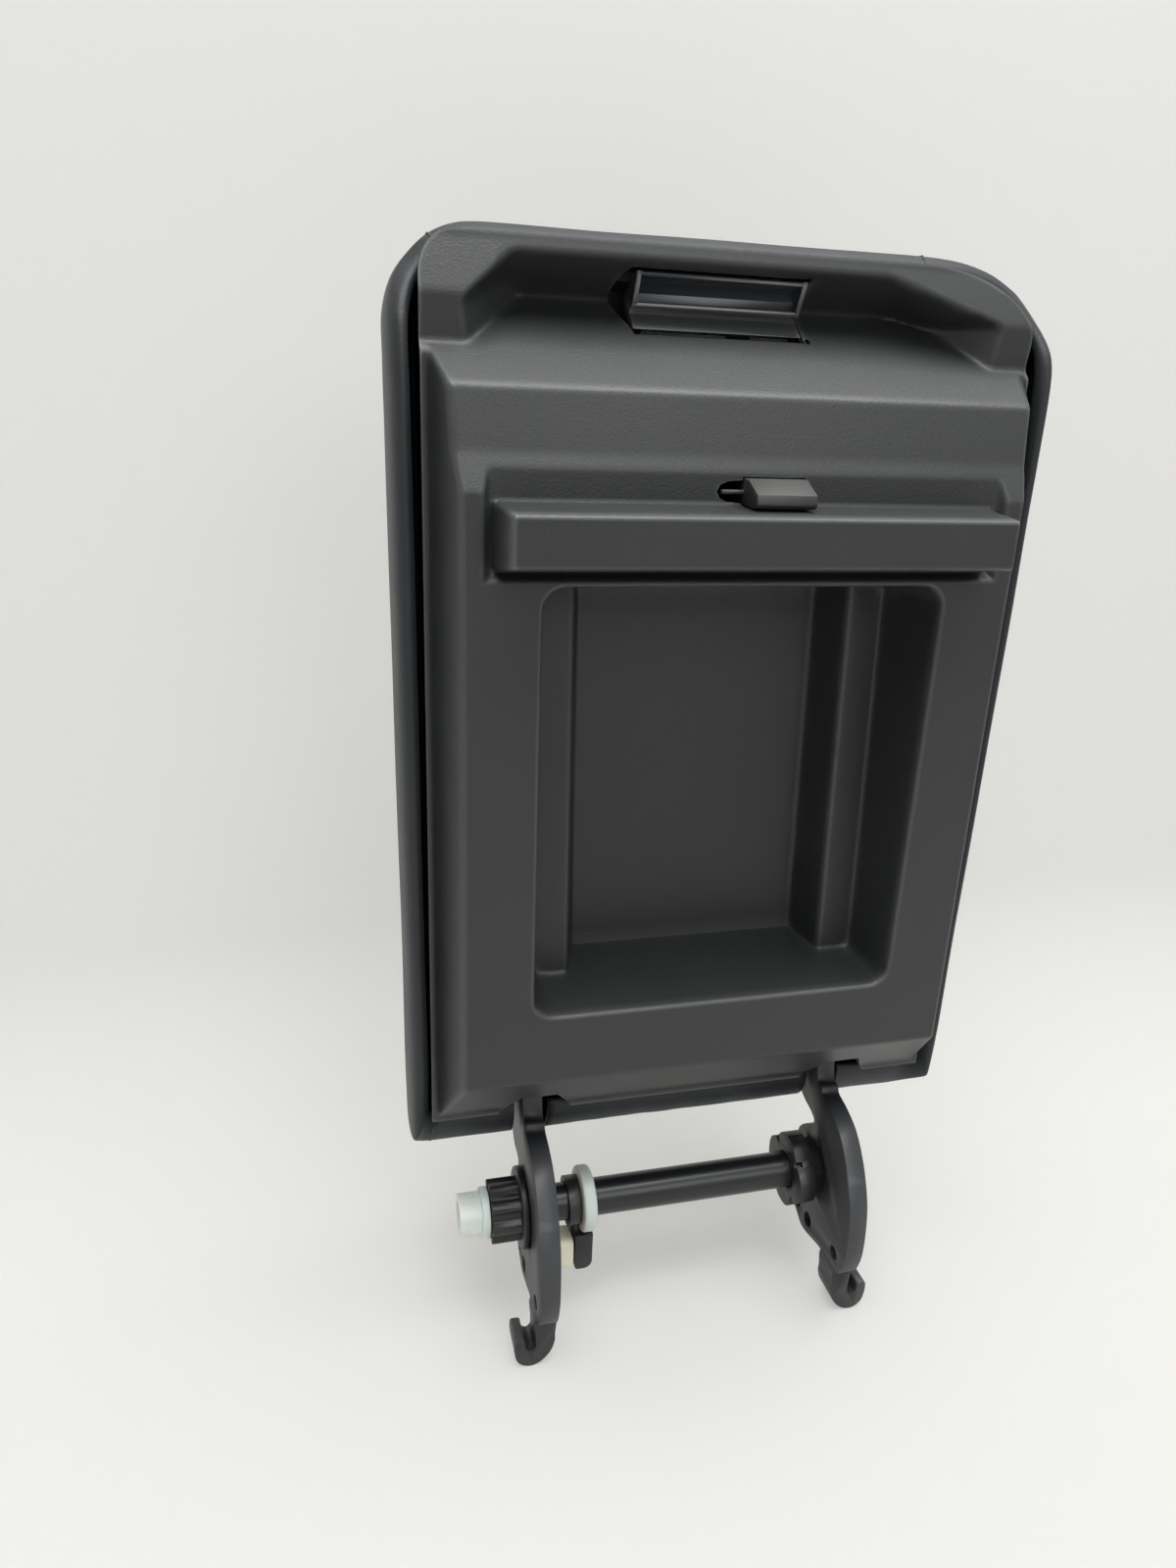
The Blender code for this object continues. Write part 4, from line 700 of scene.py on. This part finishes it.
def build_paddle(finish, face_finish):
    """Finger paddle: polished scoop in a raised frame, a plate below it and ears round its pin."""
    left, right, frame_wide = -34.8, 24.0, 1.5
    behind = [(351.6, -14.8), (350.6, -18.6), (346.4, -27.4), (342.6, -29.3), (339.0, -26.0), (335.0, -20.4),
              (334.3, -17.8)]
    plate = [(334.4, -15.6), (336.6, -18.2), (339.4, -21.4), (340.4, -20.8)]
    rim = [(340.9, -18.9), (341.9, -18.1), (350.2, -13.7), (351.2, -13.5)]
    scoop = [(340.9, -18.9), (341.6, -18.2), (342.4, -18.4), (342.9, -19.8), (345.4, -20.4), (348.0, -18.4),
             (349.4, -15.6), (350.0, -14.0), (350.8, -13.5)]
    paddle = new_piece("latch_paddle_moulded", extrude(plate + scoop + behind, left, right),
                       finish, "paddle", ("latch_paddle",))
    parts = [tool(extrude(plate + rim + behind, low, low + frame_wide)) for low in (left, right - frame_wide)]
    for low, high in ((-33.0, -30.6), (22.4, 24.0), (0.0, 8.0)):
        ear = [(335.6, -19.6), (340.2, -26.4)]
        ear += [(PADDLE_PIVOT[0] + 2.3 * math.cos(math.radians(a)),
                 PADDLE_PIVOT[1] + 2.3 * math.sin(math.radians(a))) for a in range(-30, -240, -18)]
        parts.append(tool(extrude(ear, low, high)))
    parts.append(tool(extrude(((332.5, -31.0), (335.5, -31.0), (335.5, -24.0), (332.5, -24.0)), 0.0, 8.0)))
    boolean(paddle, "UNION", *parts)
    boolean(paddle, "DIFFERENCE", tool(lathe(((-40.0, PIN_BORE), (40.0, PIN_BORE)), 28, PADDLE_PIVOT)))
    soften_edges(paddle, 0.45, 3, 30.0, 50)
    paddle.data.materials.append(face_finish)
    for face in paddle.data.polygons:
        y, z = face.center.z / MM, -face.center.y / MM
        inside = left + frame_wide < face.center.x / MM < right - frame_wide
        if inside and 342.8 < y < 349.7 and z > -21.0 and face.normal.y < 0:
            face.material_index = 1


def build_pawl(finish):
    """Pawl: bevelled head, the tongue beside it and the stem inside the lid."""
    head = ((281.9, 10.0), (281.9, 28.2), (283.1, 29.5), (286.3, 28.9), (290.4, 20.5), (290.4, 10.0))
    pawl = new_piece("latch_pawl_moulded", extrude(head, -5.2, 15.2), finish, "pawl", ("latch_pawl",))
    stem = ((282.6, 12.0), (282.6, -24.0), (298.0, -24.0), (298.0, -14.2), (297.2, -14.2), (295.0, -21.5),
            (289.7, -21.5), (289.7, 12.0))
    tongue = ((285.4, 11.0), (285.4, 17.6), (286.8, 17.6), (286.8, 11.0))
    boolean(pawl, "UNION", tool(extrude(stem, -1.0, 9.0)), tool(extrude(tongue, -12.6, -4.6)))
    slot = ((284.5, -9.65), (287.8, -9.65), (287.8, -2.85), (284.5, -2.85))
    boolean(pawl, "DIFFERENCE", tool(extrude(slot, -12.0, 20.0)))
    soften_edges(pawl, 0.5, 3, 30.0, 50)


# Materials

def shader_of(name):
    """A new material's node tree and its Principled shader."""
    finish = bpy.data.materials.new(name)
    finish.use_nodes = True
    return finish, finish.node_tree, finish.node_tree.nodes["Principled BSDF"]


def moulded(name, colour, roughness, grain_mm, grain_depth_mm, spread=0.12, specular=0.5, edge_highlight=0.0):
    """Moulded or coated surface: fine grain from the tool, slow changes of tone, and a painted highlight that
    makes convex edges paler.
    """
    finish, tree, shader = shader_of(name)
    place = add_node(tree, "ShaderNodeTexCoord")
    grain = add_node(tree, "ShaderNodeTexVoronoi", {"feature": "SMOOTH_F1"},
                     {"Scale": 1.0 / (grain_mm * MM), "Smoothness": 0.6}, [("Vector", place, "Object")])
    mottle = add_node(tree, "ShaderNodeTexNoise", inputs={"Scale": 1.0 / (30.0 * MM), "Detail": 5.0},
                      links=[("Vector", place, "Object")])
    bump = add_node(tree, "ShaderNodeBump", inputs={"Strength": 0.6, "Distance": grain_depth_mm * MM},
                    links=[("Height", grain, "Distance")])
    paler = tuple(min(1.0, value * (1.0 + spread * 2.2)) for value in colour[:3]) + (1.0,)
    darker = tuple(value * (1.0 - spread) for value in colour[:3]) + (1.0,)
    tone = add_node(tree, "ShaderNodeMix", {"data_type": "RGBA"}, links=[("Factor", mottle, "Fac")])
    tone.inputs["A"].default_value = darker
    tone.inputs["B"].default_value = paler
    gloss = add_node(tree, "ShaderNodeMapRange", inputs={"To Min": roughness - 0.05,
                                                           "To Max": roughness + 0.07},
                     links=[("Value", mottle, "Fac")])
    # Painted highlight: pointiness finds the convex edges, which are mixed towards a much paler tone.
    shape = add_node(tree, "ShaderNodeNewGeometry")
    edges = add_node(tree, "ShaderNodeMapRange", inputs={"From Min": 0.51, "From Max": 0.58,
                                                            "To Max": edge_highlight},
                     links=[("Value", shape, "Pointiness")])
    # The painted edge highlight: the tone is mixed with a colour four times paler where edges are convex.
    worn = add_node(tree, "ShaderNodeMix", {"data_type": "RGBA"}, links=[("Factor", edges, "Result")])
    tree.links.new(tone.outputs["Result"], worn.inputs["A"])
    worn.inputs["B"].default_value = tuple(min(1.0, value * 4.0 + 0.02) for value in colour[:3]) + (1.0,)
    tree.links.new(worn.outputs["Result"], shader.inputs["Base Color"])
    tree.links.new(gloss.outputs["Result"], shader.inputs["Roughness"])
    tree.links.new(bump.outputs["Normal"], shader.inputs["Normal"])
    shader.inputs["Specular IOR Level"].default_value = specular
    return finish


# Name in the code: material, colour setting, roughness, grain pitch and grain depth in mm, then where they
# differ from moulded(): spread of tone, specular and painted edge highlight. The grains are drawn coarser
# than the real ones, so that they show at this distance.
FINISH_TABLE = {
    # ABS with a fine etched grain: soft grey highlights on every eased edge, from its shape and a painted
    # highlight, never a mirror.
    "liner": ("Grained ABS, injection moulded", "liner", 0.44, 0.75, 0.09, 0.08, 0.5, 0.8),
    # PVC skin stretched over foam: bluish black, small pebble grain, a satin sheen along the roll.
    "vinyl": ("Vinyl, embossed and stretched", "vinyl", 0.46, 1.1, 0.12, 0.1, 0.3),
    # Polyester thread, twisted: matte and a touch paler than the vinyl.
    "thread": ("Polyester thread, twisted", "thread", 0.7, 0.5, 0.1),
    # ABS, eased and fine: satin charcoal whose raised edges carry a thin painted highlight line.
    "paddle": ("ABS, satin mould", "paddle", 0.34, 1.2, 0.02, 0.06, 0.8, 0.9),
    # ABS from a polished mould: blue black, mirrors the dark room in the scoop.
    "paddle face": ("ABS, polished mould", "paddle_face", 0.22, 1.6, 0.006, 0.04),
    # Acetal, natural moulding: matte mid grey that catches light evenly.
    "pawl": ("Acetal, moulded", "pawl", 0.52, 0.9, 0.02),
    # Die-cast zinc under a thin black dip coat: dark satin grey with slight orange peel, and a painted
    # highlight on its edges.
    "arm": ("Cast zinc, black dip coat", "arm", 0.42, 1.3, 0.05, 0.15, 0.4, 0.5),
    # Drawn steel, black oxide: dark with a soft long highlight.
    "rod": ("Steel, black oxide", "rod", 0.3, 2.0, 0.006, 0.1),
    # Nylon with glass fibre, moulded: plain black.
    "black nylon": ("Glass filled nylon, moulded", "black_nylon", 0.42, 0.8, 0.02),
    # Natural nylon, moulded: cold white and a little waxy.
    "white nylon": ("Natural nylon, moulded", "white_nylon", 0.4, 1.2, 0.01, 0.03),
    # Thermoplastic rubber, moulded: warm cream, matte.
    "bumper": ("Soft rubber, moulded", "bumper", 0.75, 0.7, 0.05, 0.06),
    # Low carbon steel, zinc plated: bright pale grey metal.
    "steel": ("Steel, zinc plated", "steel", 0.32, 1.0, 0.004),
    # ABS pan, unseen from outside: plain black, matte.
    "pan": ("Plain ABS, injection moulded", "pan", 0.6, 0.9, 0.03),
    # Polyurethane foam: open cells, pale buff.
    "foam": ("Polyurethane foam, moulded", "foam", 0.95, 1.2, 0.3),
}


def make_finishes(colours):
    """Every material of the object, by its name in the code."""
    finishes = {key: moulded(title, getattr(colours, tone), *numbers)
                for key, (title, tone, *numbers) in FINISH_TABLE.items()}
    for key, socket, value in (("steel", "Metallic", 1.0), ("white nylon", "Subsurface Weight", 0.15)):
        finishes[key].node_tree.nodes["Principled BSDF"].inputs[socket].default_value = value
    return finishes


def dress_solids(finishes):
    """Give the solids that stay in view or inside their finishes."""
    worn = {"carrier": "pan", "latch_bracket": "pan", "latch_link": "pawl", "foam_pad": "foam"}
    for name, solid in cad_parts.items():
        if "screw" in name or "spring" in name or name.endswith("_pin"):
            worn[name] = "steel"
        elif name.endswith("_arm_bush"):
            worn[name] = "black nylon"
        if name in worn:
            for slot in solid.material_slots:
                slot.material = finishes[worn[name]]


# Stage

def seeing_rays(tree):
    """1 for rays from the camera, a reflection or a clear part, and 0 for rays that carry light."""
    rays = add_node(tree, "ShaderNodeLightPath")
    seeing = add_node(tree, "ShaderNodeMath", {"operation": "MAXIMUM"},
                      links=[(0, rays, "Is Camera Ray"), (1, rays, "Is Glossy Ray")])
    return add_node(tree, "ShaderNodeMath", {"operation": "MAXIMUM"},
                    links=[(0, seeing, "Value"), (1, rays, "Is Transmission Ray")])


def build_stage(stage_size, colours):
    """Paper sweep behind and under the object, soft lamps and the camera.

    What the camera and reflections see of the paper is partly its own even tone, which lights nothing.
    """
    paper, tree, shader = shader_of("Backdrop paper")
    shader.inputs["Base Color"].default_value = colours.paper
    shader.inputs["Roughness"].default_value = 0.95
    seen = add_node(tree, "ShaderNodeEmission", inputs={"Color": colours.paper_seen})
    share = add_node(tree, "ShaderNodeMath", {"operation": "MULTIPLY"}, {1: stage_size.even_share},
                     [(0, seeing_rays(tree), "Value")])
    even = add_node(tree, "ShaderNodeMixShader", links=[("Fac", share, "Value"), (1, shader, "BSDF"),
                                                        (2, seen, "Emission")])
    clear = add_node(tree, "ShaderNodeBsdfTransparent")
    side = add_node(tree, "ShaderNodeNewGeometry")
    one_sided = add_node(tree, "ShaderNodeMixShader", links=[("Fac", side, "Backfacing"), (1, even, "Shader"),
                                                             (2, clear, "BSDF")])
    tree.links.new(one_sided.outputs["Shader"], tree.nodes["Material Output"].inputs["Surface"])
    floor_z, wall_y, bend = -0.0548, stage_size.wall_distance, 0.10
    section = [(-3.0, floor_z), (wall_y - bend, floor_z)]
    section += [(wall_y - bend + bend * math.sin(a), floor_z + bend - bend * math.cos(a))
                for a in np.linspace(0.05, math.pi / 2, 24)]
    section += [(wall_y, 3.0)]
    points = [(x, y, z) for x in (-3.0, 3.0) for y, z in section]
    count = len(section)
    mesh = bpy.data.meshes.new("backdrop")
    mesh.from_pydata(points, [], [(i, count + i, count + i + 1, i + 1) for i in range(count - 1)])
    mesh.materials.append(paper)
    mesh.shade_smooth()
    sweep = placed("backdrop", mesh)

    def lamp(name, place, target, power, width, height):
        light = bpy.data.lights.new(name, "AREA")
        light.shape = "RECTANGLE"
        light.size, light.size_y, light.energy = width, height, power
        holder = placed(name, light)
        holder.location = place
        holder.rotation_euler = (Vector(target) - Vector(place)).to_track_quat("-Z", "Y").to_euler()

    lamp("ceiling lamp", (0.05, -0.22, 1.4), (0.0, -0.05, 0.15), stage_size.ceiling_power, 1.5, 0.8)
    lamp("window lamp", (0.36, -1.3, 0.95), (0.0, 0.0, 0.15), stage_size.window_power, 0.8, 0.6)
    world = bpy.data.worlds.new("room")
    bpy.context.scene.world = world
    world.use_nodes = True
    tree = world.node_tree
    room = tree.nodes["Background"]
    room.inputs["Color"].default_value = colours.room
    room.inputs["Strength"].default_value = stage_size.room_strength
    pale = add_node(tree, "ShaderNodeBackground", inputs={"Color": colours.paper_seen})
    around = add_node(tree, "ShaderNodeMixShader", links=[("Fac", seeing_rays(tree), "Value"),
                                                          (1, room, "Background"), (2, pale, "Background")])
    tree.links.new(around.outputs["Shader"], tree.nodes["World Output"].inputs["Surface"])

    camera = bpy.data.cameras.new("camera")
    camera.sensor_fit = "VERTICAL"
    camera.sensor_height = 36.0
    camera.lens = stage_size.lens
    camera.clip_start = 0.01
    holder = placed("camera", camera)
    right = Vector((0.9702, -0.2395, 0.0361))
    upward = Vector((0.0477, 0.3353, 0.9409))
    backward = Vector((-0.2375, -0.9111, 0.3368))
    turn = Matrix((right, upward, backward)).transposed().to_4x4()
    holder.matrix_world = Matrix.Translation(Vector((-0.1374, -0.3424, 0.3099))) @ turn
    bpy.context.scene.camera = holder
    bpy.context.scene.view_settings.view_transform = "Standard"


# Settings, operators and panel

def number(name, text, default, **kind):
    """A number setting."""
    return bpy.props.FloatProperty(name=name, description=text, default=default, **kind)


def length(name, text, default):
    """A length setting: its default is given in millimetres, and it is kept in metres."""
    return number(name, text, default * MM, unit="LENGTH", precision=4)


def colour(name, text, default):
    """A colour setting: its default is an sRGB hex value, and it is kept as linear values."""
    return bpy.props.FloatVectorProperty(name=name, description=text, default=linear(default), size=4,
                                         min=0.0, max=1.0, subtype="COLOR")


class ArmrestSizes(bpy.types.PropertyGroup):
    face_z: length("Face depth", "Height of the liner's main face", 20.5)
    face_half: length("Face half width", "Half the width of the main face", 95.7)
    recess_half: length("Recess half width", "Half the width of the storage recess", 70.0)
    step_half: length("Step half width", "Half the distance between the recess walls at the steps", 66.6)
    recess_bottom: length("Recess start", "Hinge end of the recess", 101.7)
    recess_top: length("Recess end", "Front end of the recess", 256.2)
    recess_corner: length("Recess corners", "Radius of the recess's corners", 8.0)
    bar_half: length("Bar half width", "Half the length of the cross bar", 83.3)
    bar_z: length("Bar height", "Height of the cross bar's face", 38.3)
    pocket_half: length("Pocket half width", "Half the width of the finger pocket's floor", 70.0)
    edge_ease: length("Edge radius", "Radius of the recess's edges", 1.3)
    back_z: length("Padding back", "Depth of the padded top's sides", -62.0)
    arm_thick: length("Arm thickness", "Thickness of the hinge arms", 7.8)
    rod_radius: length("Rod radius", "Radius of the hinge rod", 7.5)


class ArmrestColours(bpy.types.PropertyGroup):
    liner: colour("Liner", "Charcoal of the moulded liner", "292B2B")
    vinyl: colour("Vinyl", "Blue black of the armrest's skin", "26292C")
    thread: colour("Thread", "Stitching", "3C3F43")
    paddle: colour("Paddle", "Charcoal of the latch paddle", "3C3E3E")
    paddle_face: colour("Paddle face", "Blue black of the paddle's scoop", "282C32")
    pawl: colour("Pawl", "Grey of the latch pawl", "323432")
    arm: colour("Arms", "Coated casting", "292A2C")
    rod: colour("Rod", "Black oxide", "151919")
    black_nylon: colour("Black nylon", "Bush, boss and stop tab", "1B1C1D")
    white_nylon: colour("White nylon", "Ring and end cap", "D3D8D2")
    bumper: colour("Bumper", "Cream stop pad", "F6EFD8")
    steel: colour("Steel", "Screws, pins and springs", "C4C6C8")
    pan: colour("Pan", "Carrier and bracket", "202122")
    foam: colour("Foam", "Cut foam", "A8A290")
    paper: colour("Backdrop", "Paper sweep", "ECEBE8")
    paper_seen: colour("Backdrop tone", "Even tone that the camera sees in the paper", "D6D6D3")
    room: colour("Room", "Light from the room", "F6F7FA")


class ArmrestStage(bpy.types.PropertyGroup):
    lens: number("Lens", "Focal length on a 36 mm high image", 24.19, unit="CAMERA")
    wall_distance: number("Wall", "Backdrop's distance behind the hinge axis", 0.17, unit="LENGTH")
    even_share: number("Even backdrop", "Share of the paper's even tone", 0.6, subtype="FACTOR")
    ceiling_power: number("Ceiling lamp", "Power of the lamp above", 29.0, unit="POWER")
    window_power: number("Window lamp", "Power of the lamp before the object", 4.5, unit="POWER")
    room_strength: number("Room light", "Strength of the room's even light", 0.08)


FINISHES = {}


def sizes_in_millimetres(context):
    """The scene's size settings as millimetres."""
    settings = context.scene.armrest_sizes
    return SimpleNamespace(**{name: getattr(settings, name) / MM for name in ArmrestSizes.__annotations__})


class MakeMaterials(bpy.types.Operator):
    """Make the materials and give them to the solids that stay in view"""
    bl_idname = "armrest.make_materials"
    bl_label = "Materials"

    def execute(self, context):
        FINISHES.update(make_finishes(context.scene.armrest_colours))
        dress_solids(FINISHES)
        return {"FINISHED"}


class MakeLiner(bpy.types.Operator):
    """Build the moulded liner with its recess, bar and finger pocket"""
    bl_idname = "armrest.make_liner"
    bl_label = "Liner"

    def execute(self, context):
        build_liner(sizes_in_millimetres(context), FINISHES["liner"])
        return {"FINISHED"}


class MakePaddedTop(bpy.types.Operator):
    """Build the stretched vinyl cover with its seams"""
    bl_idname = "armrest.make_padded_top"
    bl_label = "Padded top"

    def execute(self, context):
        build_cover(sizes_in_millimetres(context), FINISHES["vinyl"], FINISHES["thread"])
        return {"FINISHED"}


class MakeArms(bpy.types.Operator):
    """Build both cranked hinge arms"""
    bl_idname = "armrest.make_arms"
    bl_label = "Hinge arms"

    def execute(self, context):
        for side in (-1, 1):
            build_arm(side, FINISHES["arm"], sizes_in_millimetres(context))
        return {"FINISHED"}


class MakeHinge(bpy.types.Operator):
    """Build the rod with its bush, cap, ring, stop tab, bumper, boss and clip"""
    bl_idname = "armrest.make_hinge"
    bl_label = "Hinge rod"

    def execute(self, context):
        build_rod(sizes_in_millimetres(context), FINISHES["rod"], FINISHES["steel"])
        build_toothed_bush(FINISHES["black nylon"])
        build_cap(FINISHES["white nylon"])
        build_collar(FINISHES["white nylon"])
        build_stop_tab(FINISHES["black nylon"], FINISHES["bumper"])
        build_boss(FINISHES["black nylon"])
        return {"FINISHED"}


class MakeLatch(bpy.types.Operator):
    """Build the latch paddle and the pawl"""
    bl_idname = "armrest.make_latch"
    bl_label = "Latch"

    def execute(self, context):
        build_paddle(FINISHES["paddle"], FINISHES["paddle face"])
        build_pawl(FINISHES["pawl"])
        return {"FINISHED"}


class MakeStage(bpy.types.Operator):
    """Set up the backdrop, the lamps and the camera"""
    bl_idname = "armrest.make_stage"
    bl_label = "Stage"

    def execute(self, context):
        build_stage(context.scene.armrest_stage, context.scene.armrest_colours)
        return {"FINISHED"}


OPERATORS = (MakeMaterials, MakeLiner, MakePaddedTop, MakeArms, MakeHinge, MakeLatch, MakeStage)


class ArmrestPanel(bpy.types.Panel):
    """Lists the armrest's settings and the pieces to build"""
    bl_idname = "VIEW3D_PT_armrest"
    bl_label = "Armrest"
    bl_space_type = "VIEW_3D"
    bl_region_type = "UI"
    bl_category = "Armrest"

    def draw(self, context):
        for operator in OPERATORS:
            self.layout.operator(operator.bl_idname)
        for settings in (context.scene.armrest_sizes, context.scene.armrest_colours,
                         context.scene.armrest_stage):
            column = self.layout.column()
            for name in settings.__annotations__:
                column.prop(settings, name)


CLASSES = (ArmrestSizes, ArmrestColours, ArmrestStage, *OPERATORS, ArmrestPanel)


def register():
    for cls in CLASSES:
        bpy.utils.register_class(cls)
    bpy.types.Scene.armrest_sizes = bpy.props.PointerProperty(type=ArmrestSizes)
    bpy.types.Scene.armrest_colours = bpy.props.PointerProperty(type=ArmrestColours)
    bpy.types.Scene.armrest_stage = bpy.props.PointerProperty(type=ArmrestStage)


def unregister():
    del bpy.types.Scene.armrest_stage
    del bpy.types.Scene.armrest_colours
    del bpy.types.Scene.armrest_sizes
    for cls in reversed(CLASSES):
        bpy.utils.unregister_class(cls)


def main():
    register()
    bpy.ops.armrest.make_materials()
    bpy.ops.armrest.make_liner()
    bpy.ops.armrest.make_padded_top()
    bpy.ops.armrest.make_arms()
    bpy.ops.armrest.make_hinge()
    bpy.ops.armrest.make_latch()
    bpy.ops.armrest.make_stage()
    bpy.context.view_layer.update()


if __name__ == "__main__":
    main()
